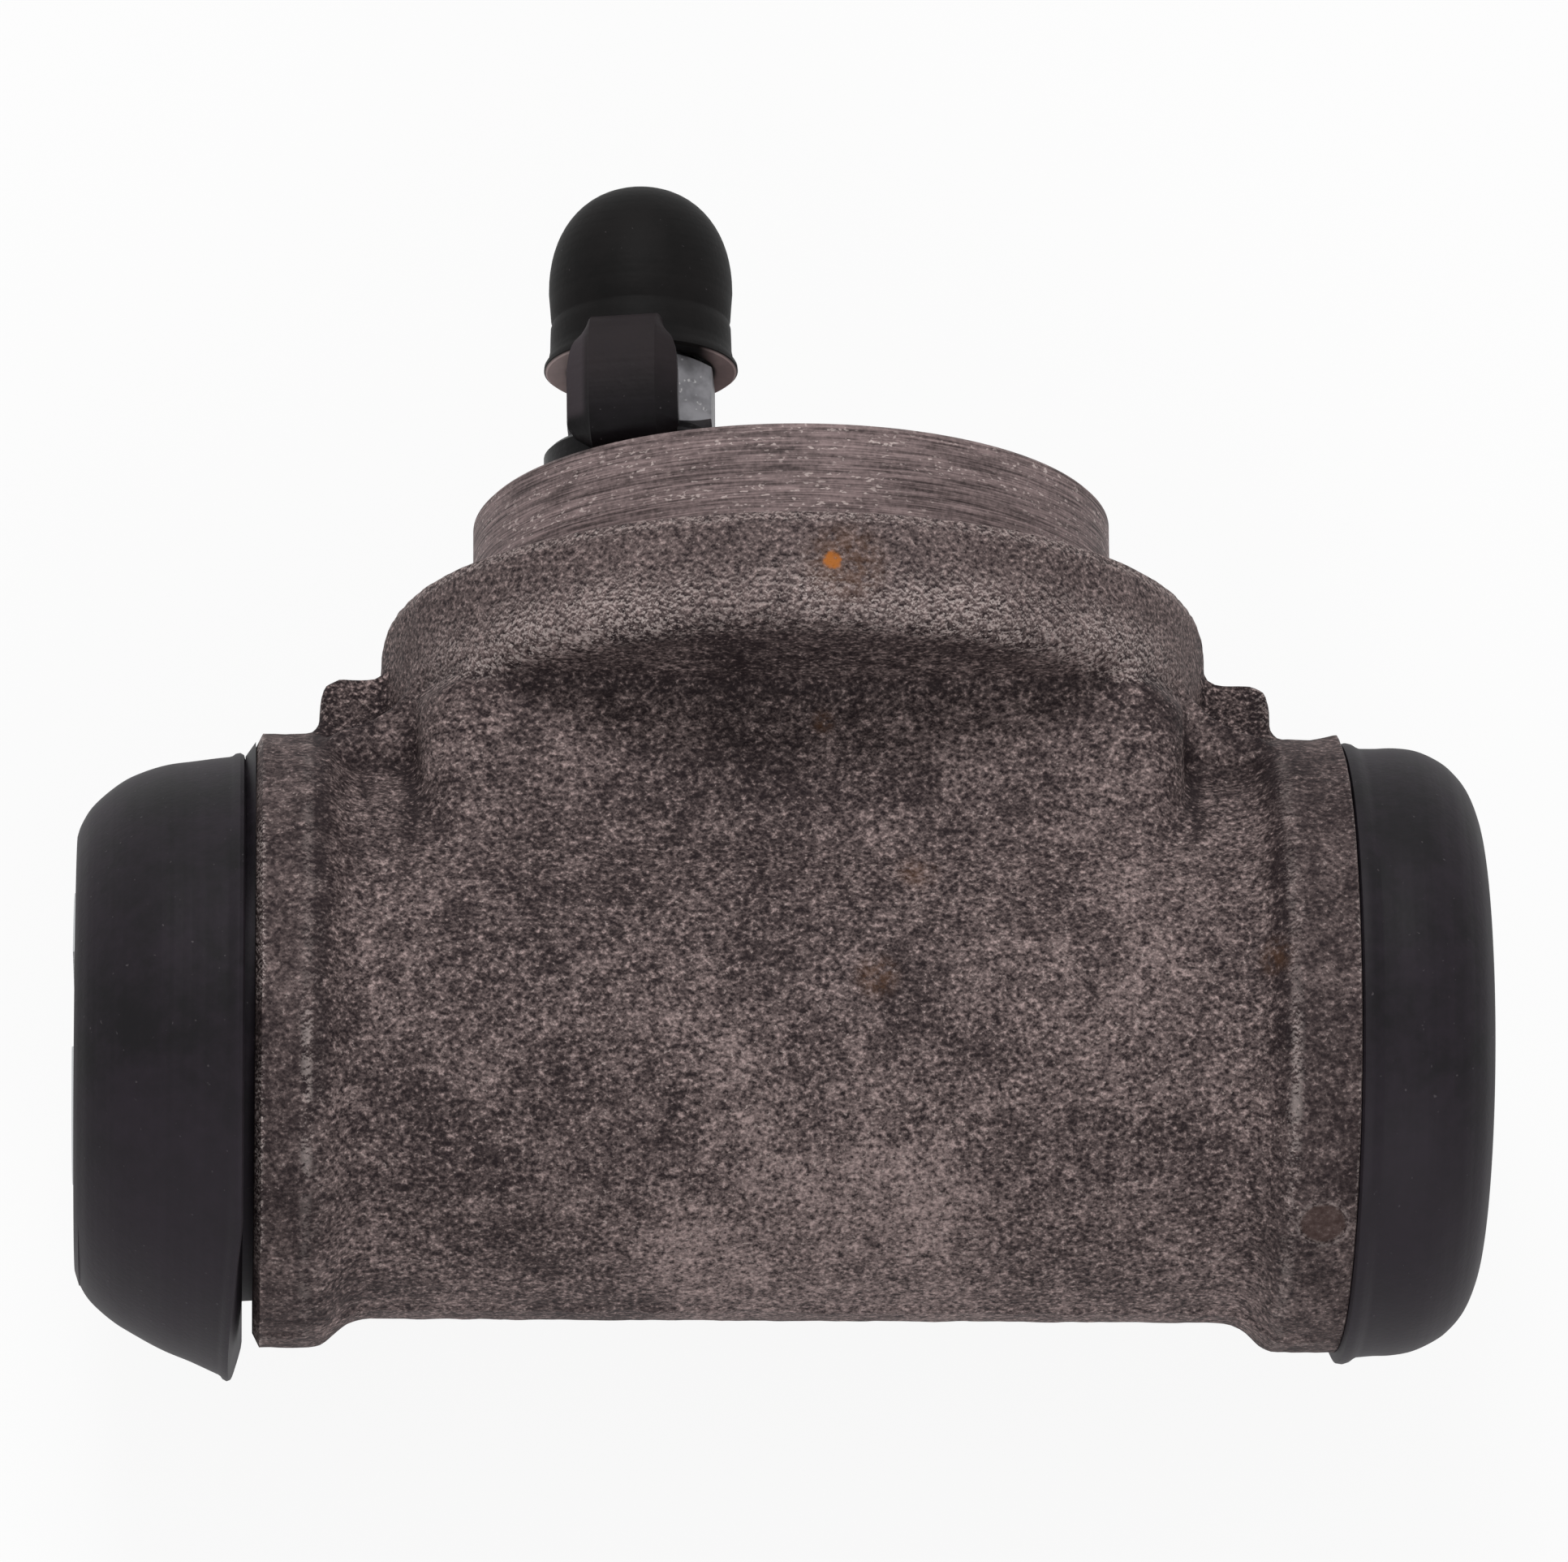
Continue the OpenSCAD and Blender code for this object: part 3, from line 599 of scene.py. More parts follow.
# Broken outer edge of the left flange: width, overrun, and how far it rises and drops from the rim
EDGE_WIDTH = 0.65
EDGE_PAST = 0.05
EDGE_RISE = 0.4
EDGE_DROP = 1.0
# How far a point stands out where an edge counts as fully sharp
SHARP_EDGE = 0.12


def tapped_hole(r, depth):
    return [(0.0, SPIGOT_TOP - depth - r / 2), (r, SPIGOT_TOP - depth), (r, SPIGOT_TOP - MOUTH_CHAMFER),
            (r + MOUTH_CHAMFER, SPIGOT_TOP), (r + MOUTH_CHAMFER, SPIGOT_TOP + 1), (0.0, SPIGOT_TOP + 1)]


def disc(r, low, high):
    return [(0.0, low), (r, low), (r, high), (0.0, high)]


def web_root():
    """Outline of the swelling on top of the barrel, where the web runs from the neck out to the flange."""
    outline = [(AXIS_Y, 0.0)]
    for turn in range(-WEB_TURN, WEB_TURN + 1, 5):
        swell = 1 - abs(turn) / WEB_TURN
        r = BARREL_R - 0.2 + (FLANGE_R - BARREL_R) * swell * swell * (3 - 2 * swell)
        outline.append((AXIS_Y + r * math.cos(math.radians(turn)), r * math.sin(math.radians(turn))))
    return outline


def cast_blank():
    """The casting before machining: its holes filled and its machined faces left with metal to cut."""
    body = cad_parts["cylinder_body"].data.copy()
    merged = bmesh.new()
    merged.from_mesh(body)
    bmesh.ops.remove_doubles(merged, verts=merged.verts, dist=2e-6)
    merged.to_mesh(body)
    merged.free()
    extras = [lathe(disc(RECESS_R + 1, -HALF_LEN, HALF_LEN), 64, along_bore(1)),
              lathe(disc(SPIGOT_R + 1, -OVERRUN, SPIGOT_TOP + OVERRUN), 96, along_spigot()),
              lathe(disc(BOSS_R - SHOULDER_CHAMFER, -OVERRUN, OVERRUN), 128, along_spigot()),
              lathe(disc(BLEED_PORT_R + 1, -SPIGOT_R, 0), 32, along_spigot(BLEED_X, BLEED_Z)),
              lathe(disc(INLET_R + 1, -SPIGOT_R, 0), 32, along_spigot())]
    for side in (-1, 1):
        inner_edge = HALF_LEN - FLANGE_W - RIGHT_FLANGE_EXTRA * (side > 0)
        extras.append(lathe(disc(FLANGE_R, inner_edge, HALF_LEN + OVERRUN), 128, along_bore(side)))
        extras.append(prism(web_root(), side * (NECK_X - 1), side * (inner_edge + 0.4)))
        filler = disc(FIXING_R + 1, -OVERRUN - FIXING_DEPTH, 0)
        extras.append(lathe(filler, 32, along_spigot(side * FIXING_X, FIXING_Z)))
    piece = scratch(join_meshes([body, *extras]))
    skin = piece.modifiers.new("skin", "REMESH")
    skin.mode = "VOXEL"
    skin.voxel_size = VOXEL * MM
    apply_modifiers(piece)
    return piece


def mesh_arrays(mesh):
    points = np.empty(len(mesh.vertices) * 3)
    mesh.vertices.foreach_get("co", points)
    edges = np.empty(len(mesh.edges) * 2, dtype=np.int64)
    mesh.edges.foreach_get("vertices", edges)
    return points.reshape(-1, 3), edges.reshape(-1, 2)


def relax(points, edges, rounds, share=0.5):
    """Smooth points towards the mean of their neighbours."""
    count = np.bincount(edges.ravel(), minlength=len(points)).clip(1)[:, None]
    for _ in range(rounds):
        total = np.zeros_like(points)
        for axis in range(3):
            total[:, axis] = (np.bincount(edges[:, 0], points[edges[:, 1], axis], len(points))
                              + np.bincount(edges[:, 1], points[edges[:, 0], axis], len(points)))
        points = points + share * (total / count - points)
    return points


def normals_of(mesh):
    normals = np.empty(len(mesh.vertices) * 3)
    mesh.vertex_normals.foreach_get("vector", normals)
    return normals.reshape(-1, 3)


def cast_relief(x, y, z):
    """Height of the sand-cast skin in millimetres: waves, sand marks, a broken flash line and a burr."""
    waves = WAVE_H * noise.noise((x / WAVE_SIZE, y / WAVE_SIZE, z / WAVE_SIZE))
    sand = SAND_H * noise.noise((x / SAND_SIZE + 7, y / SAND_SIZE, z / SAND_SIZE))
    flash = 0.0
    if y < AXIS_Y + BARREL_R and abs(z) < FLASH_REACH and math.hypot(y - AXIS_Y, z) > BARREL_R - 1:
        ragged = 0.5 + 0.8 * noise.noise((x / 2.3 + 3, y / 9, 5.0))
        flash = FLASH_H * max(0.0, ragged) * math.exp(-(z / FLASH_W) ** 2)
    burr = 0.0
    if x > HALF_LEN - FLANGE_W:
        top = math.hypot(y - AXIS_Y - BURR_AT[0], z - BURR_AT[1])
        burr = BURR_H * math.exp(-(top / BURR_W) ** 2) * clamped((x - HALF_LEN + BURR_LEN) / BURR_LEN)
    return waves + sand + flash + burr - SKIN_DROP


def casting(material):
    """The iron body: a cast skin, then turned, faced, bored, drilled and marked as the real one is."""
    piece = cast_blank()
    mesh = piece.data
    points, edges = mesh_arrays(mesh)
    points = relax(points, edges, SKIN_ROUNDS)
    mesh.vertices.foreach_set("co", points.ravel())
    mesh.update()
    lift = np.array([cast_relief(*point) for point in points / MM])
    points = points + normals_of(mesh) * lift[:, None] * MM
    mesh.vertices.foreach_set("co", points.ravel())
    mesh.update()

    recess_floor = HALF_LEN - RECESS_DEPTH
    lead_in = BORE_R + BORE_CHAMFER
    past_face = HALF_LEN + 3
    bored = [(0.0, -past_face), (RECESS_R, -past_face),
             (RECESS_R, -recess_floor), (lead_in, -recess_floor),
             (BORE_R, BORE_CHAMFER - recess_floor), (BORE_R, recess_floor - BORE_CHAMFER),
             (lead_in, recess_floor), (RECESS_R, recess_floor),
             (RECESS_R, past_face), (0.0, past_face)]
    above = SPIGOT_TOP + 4
    aside = BOSS_R + 6
    turned = [(0.0, SPIGOT_TOP), (SPIGOT_R - SPIGOT_CHAMFER, SPIGOT_TOP),
              (SPIGOT_R, SPIGOT_TOP - SPIGOT_CHAMFER), (SPIGOT_R, 0.0),
              (aside, 0.0), (aside, above), (0.0, above)]
    facing = [(FACING_LOW, -FACING_SIDE), (FACING_HIGH, -FACING_SIDE),
              (FACING_HIGH, FACING_SIDE), (FACING_LOW, FACING_SIDE)]
    cutters = [lathe(turned, CUT_SEGMENTS, along_spigot()),
               prism(facing, HALF_LEN, HALF_LEN + FACING_DEPTH),
               prism(facing, -HALF_LEN - FACING_DEPTH, -HALF_LEN),
               lathe(bored, 128, along_bore(1)),
               lathe(tapped_hole(INLET_R, INLET_DEPTH), 64, along_spigot()),
               lathe(tapped_hole(BLEED_PORT_R, BLEED_DEPTH), 48, along_spigot(BLEED_X, BLEED_Z))]
    for side in (-1, 1):
        fixing_place = along_spigot(side * FIXING_X, FIXING_Z)
        cutters.append(lathe(tapped_hole(FIXING_R, FIXING_DEPTH), 48, fixing_place))
    mark = lathe(disc(MARK_R, FLANGE_R - MARK_DEPTH, FLANGE_R + 3), 40, along_spigot())
    mark_foot = Matrix.Translation(Vector((MARK_AT[0], AXIS_Y, 0)) * MM)
    mark.transform(mark_foot @ Matrix.Rotation(MARK_TURN, 4, "X"))
    cutters.append(mark)
    edge_start = HALF_LEN - EDGE_WIDTH
    edge_end = HALF_LEN + EDGE_PAST
    broken_edge = [(FLANGE_R + EDGE_RISE, edge_start), (FLANGE_R - EDGE_DROP, edge_end),
                   (FLANGE_R + 2, edge_end), (FLANGE_R + 2, edge_start)]
    cutters.append(lathe(broken_edge, 128, along_bore(-1), ring=True))
    cut_away(piece, cutters)
    mesh = piece.data

    points, edges = mesh_arrays(mesh)
    rounded = relax(points, edges, 4)
    stand = ((points - rounded) * normals_of(mesh)).sum(axis=1) / MM
    spread = relax(np.repeat(stand[:, None], 3, axis=1), edges, 2)[:, 0]
    edge = mesh.attributes.new("edge", "FLOAT", "POINT")
    edge.data.foreach_set("value", (spread / SHARP_EDGE).clip(-1, 1).astype(np.float32))
    bpy.data.objects.remove(piece)
    return finish_mesh("casting", mesh, material, 38.0)


# Dust boots

BOOT_SEGMENTS = 128
FOLD_SEAM_R = 12.2
# The fold stays true on the piston inside the first radius and hangs with the wall outside the second
FOLD_TRUE_R = 8.4
FOLD_HUNG_R = 10.3
# Middle of the groove in a piston, counted back from the piston's end
GROOVE_BACK = 6.5
# Collar: largest radius, how far out it reaches and how strongly its bottom is drawn up
COLLAR_MOST_R = 15.6
COLLAR_REACH = 0.45
COLLAR_TUCK = 1.6
# Share of a boot's length over which the sag of its lip dies away, and how sharply
SAG_SHARE = 0.7
SAG_POWER = 1.3
# Curl at the bottom of the lip: where it starts, its share of the length, least radius and shrinking
CURL_LOW = 0.72
CURL_SHARE = 0.3
CURL_R = 15
CURL_SHRINK = 0.014
# Lengths past the flange face and short of the piston end, at the two ends of a boot's wall
FLANGE_HOLD = 1.6
PISTON_HOLD = 1.7


def boot_outer(lip, wall, inner, collar):
    """Section of the outer wall of a boot: collar, lip, shoulder and end, and back along the inside."""
    return [*collar, *lip, *smooth_curve(wall, 6), *smooth_curve(inner, 5)]


def boot_fold(end, groove_mid):
    """Section of the fold that turns in at the end of a boot, back to the bead in the piston groove."""
    crest = smooth_curve([(FOLD_SEAM_R + 0.3, end - 0.25), (11.5, end - 0.02), (10.75, end - 0.45),
                          (10.32, end - 1.4), (10.3, groove_mid + 1.6)], 6)
    bead = [(10.1, groove_mid + 0.8), (8.4, groove_mid + 0.8), (7.25, groove_mid + 0.6),
            (7.1, groove_mid), (7.25, groove_mid - 0.6), (8.4, groove_mid - 0.8),
            (10.9, groove_mid - 0.8), (11.3, groove_mid - 0.4)]
    return [*crest, *bead, (11.3, end - 1.6), (FOLD_SEAM_R + 0.2, end - 1.5)]


RIGHT_LIP = [(RECESS_R - 0.1, 0.05), (16.86, 0.05), (17.08, 0.16), (17.14, 0.45), (17.06, 0.75), (16.9, 0.98)]
RIGHT_WALL = [(16.8, 1.2), (16.76, 2.1), (16.76, 3.1), (16.6, 4.2), (16.2, 5.2), (15.6, 6.1),
              (14.6, 6.95), (13.3, 7.5), (FOLD_SEAM_R, 7.68)]
RIGHT_INNER = [(FOLD_SEAM_R, 6.2), (13.4, 5.8), (14.6, 4.5), (15.1, 3.0), (14.9, 1.6), (13.0, 0.9)]
RIGHT_COLLAR = [(11.6, 0.3), (11.6, -1.15), (RECESS_R - 0.1, -1.15)]
RIGHT_LEN = 7.7
RIGHT_SAG_LIP = 0.42
RIGHT_SAG_END = 0.2

LEFT_GAP = 0.55
COLLAR_SEAT = 0.005
LEFT_LIP = [(COLLAR_MOST_R, 0.02), (17.2, 0.0), (17.52, 0.1), (17.6, 0.3), (17.52, 0.55), (17.36, 0.72)]
LEFT_WALL = [(17.28, 0.9), (17.1, 1.56), (16.72, 2.9), (16.35, 4.26), (15.8, 5.6), (15.05, 6.96), (13.9, 8.3),
             (12.9, 8.95), (FOLD_SEAM_R, 9.2)]
LEFT_INNER = [(FOLD_SEAM_R, 7.7), (13.0, 7.0), (14.0, 5.6), (14.8, 3.8), (15.0, 2.0), (13.4, 1.0)]
LEFT_COLLAR = [(11.7, 0.4), (11.7, COLLAR_SEAT - LEFT_GAP), (COLLAR_MOST_R, COLLAR_SEAT - LEFT_GAP)]
LEFT_LEN = 9.2
LEFT_SAG_LIP = 1.95
LEFT_SAG_END = 1.08
LEFT_COLLAR_LIFT = 0.85
LEFT_TUCK = 0.56
LEFT_CURL = 0.7


def hang(mesh, start, length, lip_sag, end_sag, tuck=0.0, curl=0.0, collar_lift=0.0):
    """Let a boot hang from its piston, lowest at the lip; the collar stays up, and the bottom is drawn in."""
    for vertex in mesh.vertices:
        x, y, z = vertex.co / MM
        out = abs(x) - start
        share = clamped(out / length)
        r = math.hypot(y - AXIS_Y, z)
        low = (AXIS_Y - y) / max(r, 1.0)
        if out < COLLAR_REACH and r < COLLAR_MOST_R + 0.01:
            below = clamped(low) * (r > COLLAR_MOST_R - 1)
            vertex.co.y += collar_lift * MM * ((out < 0.01) * (1 - below) + COLLAR_TUCK * below)
            continue
        sag = end_sag + (lip_sag - end_sag) * max(0.0, 1 - share / SAG_SHARE) ** SAG_POWER
        drawn_in = tuck * max(low, 0.0) ** 2
        curled = clamped((low - CURL_LOW) / (1 - CURL_LOW)) * (r > CURL_R)
        curled = curled * max(0.0, 1 - share / CURL_SHARE)
        shrink = 1 - CURL_SHRINK * curled * (curl > 0)
        away = math.copysign(curl * curled, x)
        vertex.co = Vector((x + away, AXIS_Y + (y - AXIS_Y) * shrink - sag + drawn_in, z * shrink)) * MM


def hang_fold(mesh, end_sag):
    """The fold follows the wall outside and stays true on the piston inside."""
    for vertex in mesh.vertices:
        r = math.hypot(vertex.co.y / MM - AXIS_Y, vertex.co.z / MM)
        vertex.co.y -= end_sag * clamped((r - FOLD_TRUE_R) / (FOLD_HUNG_R - FOLD_TRUE_R)) * MM


def dust_boot(rubber, name, side, sections, start, length, piston_end, end_sag, **hanging):
    """Outer wall of a boot and the fold that turns in at its end, as two pieces."""
    place = along_bore(side)
    outer = [(r, start + out) for r, out in boot_outer(*sections)]
    wall_mesh = lathe(outer, BOOT_SEGMENTS, place, ring=True)
    hang(wall_mesh, start, length, end_sag=end_sag, **hanging)
    wall = finish_mesh(f"{name}_wall", wall_mesh, rubber)
    fold_mesh = lathe(boot_fold(start + length, piston_end - GROOVE_BACK), BOOT_SEGMENTS, place, ring=True)
    hang_fold(fold_mesh, end_sag)
    return wall, finish_mesh(f"{name}_fold", fold_mesh, rubber)


def right_boot(rubber):
    sections = (RIGHT_LIP, RIGHT_WALL, RIGHT_INNER, RIGHT_COLLAR)
    return dust_boot(rubber, "right_boot", 1, sections, HALF_LEN, RIGHT_LEN, RIGHT_PISTON_END,
                     RIGHT_SAG_END, lip_sag=RIGHT_SAG_LIP)


def left_boot(rubber):
    sections = (LEFT_LIP, LEFT_WALL, LEFT_INNER, LEFT_COLLAR)
    return dust_boot(rubber, "left_boot", -1, sections, HALF_LEN + LEFT_GAP, LEFT_LEN, LEFT_PISTON_END,
                     LEFT_SAG_END, lip_sag=LEFT_SAG_LIP, tuck=LEFT_TUCK, curl=LEFT_CURL,
                     collar_lift=LEFT_COLLAR_LIFT)


# Bleed cap and strap

CAP_LIP_Y = 13.4
CAP_TOP = 24.1
DOME_R = 5.1
DOME_FOOT = 18.1
DOME_H = 6.0
DOME_SQUARENESS = 0.9


def bleed_cap(rubber):
    """Domed cap with a moulded seam, a short skirt and a thin flared lip."""
    dome = []
    for turn in range(0, 90, 5):
        across, up = math.cos(math.radians(turn)), math.sin(math.radians(turn))
        dome.append((DOME_R * across ** DOME_SQUARENESS, DOME_FOOT + DOME_H * up ** DOME_SQUARENESS))
    outside = [(4.3, CAP_LIP_Y + 0.02), (5.2, CAP_LIP_Y), (5.38, CAP_LIP_Y + 0.14), (5.36, CAP_LIP_Y + 0.34),
               (5.14, CAP_LIP_Y + 0.7), (5.04, 14.6), (5.02, 15.4), (5.0, 15.95), (4.9, 16.15), (4.9, 16.3),
               (4.98, 16.5), (5.03, 17.2)]
    inside = [(0.0, 21.4), (2.8, 21.4), (3.3, 20.9), (3.3, 14.2), (3.5, 13.7)]
    mesh = lathe([*outside, *dome, (0.0, CAP_TOP)], 96, along_spigot(BLEED_X, BLEED_Z))
    cavity = lathe([*inside, outside[0]], 96, along_spigot(BLEED_X, BLEED_Z))
    shell = join_meshes([mesh, cavity])
    closed = bmesh.new()
    closed.from_mesh(shell)
    bmesh.ops.remove_doubles(closed, verts=closed.verts, dist=1e-6)
    bmesh.ops.recalc_face_normals(closed, faces=closed.faces)
    closed.to_mesh(shell)
    closed.free()
    return finish_mesh("bleed_cap_dome", shell, rubber)


STRAP_TURN = math.radians(-11)
STRAP_PATH = [(4.7, 15.0), (5.9, 14.75), (6.6, 14.1), (6.85, 13.0), (6.95, 11.5), (6.9, 10.0),
              (6.7, 8.8), (6.3, 7.9), (5.6, 7.35), (4.6, 7.2)]
STRAP_SPREAD = [0.1, 0.2, 0.45, 0.85, 1.0, 1.0, 1.0, 1.0, 0.9, 0.8]
STRAP_FRONT = 1.95
STRAP_LEFT = 3.2
STRAP_RIGHT = 2.95
STRAP_SIDE_DEPTH = 0.95
STRAP_T = 1.35
STRAP_BEVEL = 0.12
RING_LOW = SPIGOT_TOP + 0.08
RING_TOP = RING_LOW + 1.75
RING_R = 5.4
RING_HOLE_R = 3.0
RING_EDGE_LOW = 0.2
RING_EDGE_TOP = 0.25


def strap_section(spread):
    """Section of the tongue as (across, depth): a flat front between two splayed sides."""
    left = STRAP_FRONT + (STRAP_LEFT - STRAP_FRONT) * spread
    right = STRAP_FRONT + (STRAP_RIGHT - STRAP_FRONT) * spread
    return [(-STRAP_FRONT, STRAP_BEVEL), (STRAP_BEVEL - STRAP_FRONT, 0.0), (STRAP_FRONT - STRAP_BEVEL, 0.0),
            (STRAP_FRONT, STRAP_BEVEL), (right, STRAP_SIDE_DEPTH), (right, STRAP_T), (-left, STRAP_T),
            (-left, STRAP_SIDE_DEPTH)]


def cap_strap(rubber):
    """Ring on the screw neck and the tongue that ties the cap to it."""
    section = [(RING_HOLE_R, RING_LOW), (RING_R - RING_EDGE_LOW, RING_LOW),
               (RING_R, RING_LOW + RING_EDGE_LOW), (RING_R, RING_TOP - RING_EDGE_TOP),
               (RING_R - RING_EDGE_TOP, RING_TOP), (RING_HOLE_R, RING_TOP)]
    ring = lathe(section, 64, along_spigot(BLEED_X, BLEED_Z), ring=True)
    path = smooth_curve(STRAP_PATH, 4)
    spread = [share for share, _ in smooth_curve([(share, 0.0) for share in STRAP_SPREAD], 4)]
    made = bmesh.new()
    rows = []
    for i, (out, y) in enumerate(path):
        before, after = path[max(i - 1, 0)], path[min(i + 1, len(path) - 1)]
        along = Vector((after[0] - before[0], after[1] - before[1])).normalized()
        row = []
        for across, depth in strap_section(spread[i]):
            reach = out + along.y * depth
            level = y - along.x * depth
            x = across * math.cos(STRAP_TURN) + reach * math.sin(STRAP_TURN)
            z = reach * math.cos(STRAP_TURN) - across * math.sin(STRAP_TURN)
            row.append(made.verts.new(Vector((BLEED_X + x, level, BLEED_Z + z)) * MM))
        rows.append(row)
    for lower, upper in zip(rows, rows[1:]):
        for i in range(len(lower)):
            j = (i + 1) % len(lower)
            made.faces.new((lower[i], lower[j], upper[j], upper[i]))
    made.faces.new(rows[0])
    made.faces.new(rows[-1][::-1])
    bmesh.ops.recalc_face_normals(made, faces=made.faces)
    tongue = bpy.data.meshes.new("tongue")
    made.to_mesh(tongue)
    made.free()
    return finish_mesh("cap_strap_tongue", join_meshes([ring, tongue]), rubber, 28.0)


# Threads and spring, as one tree that winds a section along a helix

HELIX_INPUTS = (("Radius", "Float"), ("First Turn", "Float"), ("Last Turn", "Float"), ("Turns", "Float"),
                ("Closed Turns", "Float"), ("Closed Pitch", "Float"), ("Open Pitch", "Float"),
                ("Section Radius", "Float"), ("Section Points", "Int"), ("Steps", "Int"),
                ("Material", "Material"))


def helix_tree():
    """Geometry nodes that wind a round section along a helix with closed turns at both ends."""
    tree = bpy.data.node_groups.new("helix", "GeometryNodeTree")
    tree.is_modifier = True
    for name, kind in HELIX_INPUTS:
        tree.interface.new_socket(name, in_out="INPUT", socket_type=f"NodeSocket{kind}")
    tree.interface.new_socket("Mesh", in_out="OUTPUT", socket_type="NodeSocketGeometry")
    root = Wire(tree)
    given = {out.name: Wire(tree, out) for out in tree.nodes.new("NodeGroupInput").outputs if out.name}

    share = root.node("GeometryNodeSplineParameter", {}, {}, output="Factor")
    turn = given["First Turn"] + share * (given["Last Turn"] - given["First Turn"])
    closed = given["Closed Turns"]
    open_turns = given["Turns"] - 2.0 * closed
    first = turn.at_most(closed)
    middle = (turn - closed).at_least(0.0).at_most(open_turns)
    last = (turn - closed - open_turns).at_least(0.0)
    height = (first + last) * given["Closed Pitch"] + middle * given["Open Pitch"]
    angle = turn * (2 * math.pi)
    place = root.node("ShaderNodeCombineXYZ", {}, {0: given["Radius"] * root.math("COSINE", angle),
                                                   1: given["Radius"] * root.math("SINE", angle), 2: height})

    line = root.node("GeometryNodeCurvePrimitiveLine", {}, {"End": (0.0, 0.0, 1.0)})
    line = root.node("GeometryNodeResampleCurve", {}, {"Curve": line, "Count": given["Steps"]})
    wound = root.node("GeometryNodeSetPosition", {}, {"Geometry": line, "Position": place})
    wound = root.node("GeometryNodeSetCurveNormal", {"mode": "Z_UP"}, {"Curve": wound})
    section = root.node("GeometryNodeCurvePrimitiveCircle", {},
                        {"Resolution": given["Section Points"], "Radius": given["Section Radius"]})
    swept = root.node("GeometryNodeCurveToMesh", {},
                      {"Curve": wound, "Profile Curve": section, "Fill Caps": True})
    swept = root.node("GeometryNodeRealizeInstances", {}, {"Geometry": swept})
    swept = root.node("GeometryNodeSetMaterial", {}, {"Geometry": swept, "Material": given["Material"]})
    output = tree.nodes.new("NodeGroupOutput")
    tree.links.new(swept.socket, output.inputs["Mesh"])
    return tree


def wind(tree, material, matrix, **sizes):
    """A plain mesh from the helix tree, moved to its place."""
    piece = scratch(bpy.data.meshes.new("helix"))
    winding = piece.modifiers.new("helix", "NODES")
    winding.node_group = tree
    values = {name.replace("_", " ").title(): value for name, value in sizes.items()}
    values["Material"] = material
    for item in tree.interface.items_tree:
        if item.in_out == "INPUT":
            winding[item.identifier] = values[item.name]
    mesh = apply_modifiers(piece)
    bpy.data.objects.remove(piece)
    mesh.transform(matrix)
    return mesh


UP_SPIGOT = Matrix(((1, 0, 0, 0), (0, 0, 1, 0), (0, -1, 0, 0), (0, 0, 0, 1)))
ALONG_BORE = Matrix(((0, 0, 1, 0), (0, 1, 0, 0), (-1, 0, 0, 0), (0, 0, 0, 1)))


THREAD_PITCH = 1.0
THREAD_SINK = 0.1
THREAD_STEPS = 28


def thread(tree, material, x, z, r, depth):
    """Ridge of an internal thread, half sunk in the wall of its hole."""
    turns = (depth - 2 * MOUTH_CHAMFER) / THREAD_PITCH
    foot = Vector((x, SPIGOT_TOP - depth + MOUTH_CHAMFER, z)) * MM
    return wind(tree, material, Matrix.Translation(foot) @ UP_SPIGOT, radius=(r + THREAD_SINK) * MM,
                first_turn=0.0, last_turn=turns, turns=turns, closed_turns=0.0, closed_pitch=0.0,
                open_pitch=THREAD_PITCH * MM, section_radius=0.5 * THREAD_PITCH * MM, section_points=4,
                steps=int(turns * THREAD_STEPS))


def threads(tree, material):
    ridges = [thread(tree, material, 0.0, 0.0, INLET_R, INLET_DEPTH)]
    for side in (-1, 1):
        ridges.append(thread(tree, material, side * FIXING_X, FIXING_Z, FIXING_R, FIXING_DEPTH))
    return finish_mesh("port_threads", join_meshes(ridges), material, 20.0)


SPRING_START = -15.05
SPRING_END = 12.75
WIRE_D = 1.3
COIL_R = 5.5
COIL_TURNS = 7.0
COIL_GAP = 0.05
COIL_STEPS = 32
SEAT_GAP = 0.1
# Length in from each end of the spring
SPRING_HOLD = 2.7


def spring_half(tree, material, name, first, last):
    closed_pitch = WIRE_D + COIL_GAP
    low = SPRING_START + WIRE_D / 2 + SEAT_GAP
    high = SPRING_END - WIRE_D / 2 - SEAT_GAP
    open_pitch = (high - low - 2 * closed_pitch) / (COIL_TURNS - 2)
    foot = Matrix.Translation(Vector((low, AXIS_Y, 0.0)) * MM)
    mesh = wind(tree, material, foot @ ALONG_BORE, radius=COIL_R * MM, first_turn=first, last_turn=last,
                turns=COIL_TURNS, closed_turns=1.0, closed_pitch=closed_pitch * MM,
                open_pitch=open_pitch * MM, section_radius=WIRE_D / 2 * MM, section_points=12,
                steps=int((last - first) * COIL_STEPS))
    return finish_mesh(name, mesh, material, 60.0)


# Dressing

def on_bore(x):
    return (x * MM, AXIS_Y * MM, 0)


iron = cast_iron()
boot_black = boot_rubber("boot_rubber", colour(12, 9, 13), colour(32, 26, 33))
cap_black = cap_rubber()
seal_black = boot_rubber("seal_rubber", colour(30, 30, 32), colour(44, 44, 47))
zinc = zinc_steel()
alloy = turned_alloy()
spring_wire = spring_steel()

for node, material in (("left_piston", alloy), ("right_piston", alloy), ("left_cup_seal", seal_black),
                       ("right_cup_seal", seal_black), ("left_cup_expander", spring_wire),
                       ("right_cup_expander", spring_wire), ("bleed_screw", zinc)):
    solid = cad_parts[node]
    solid.data.materials.clear()
    solid.data.materials.append(material)

body = casting(iron)
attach(body, "housing")
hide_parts("cylinder_body")

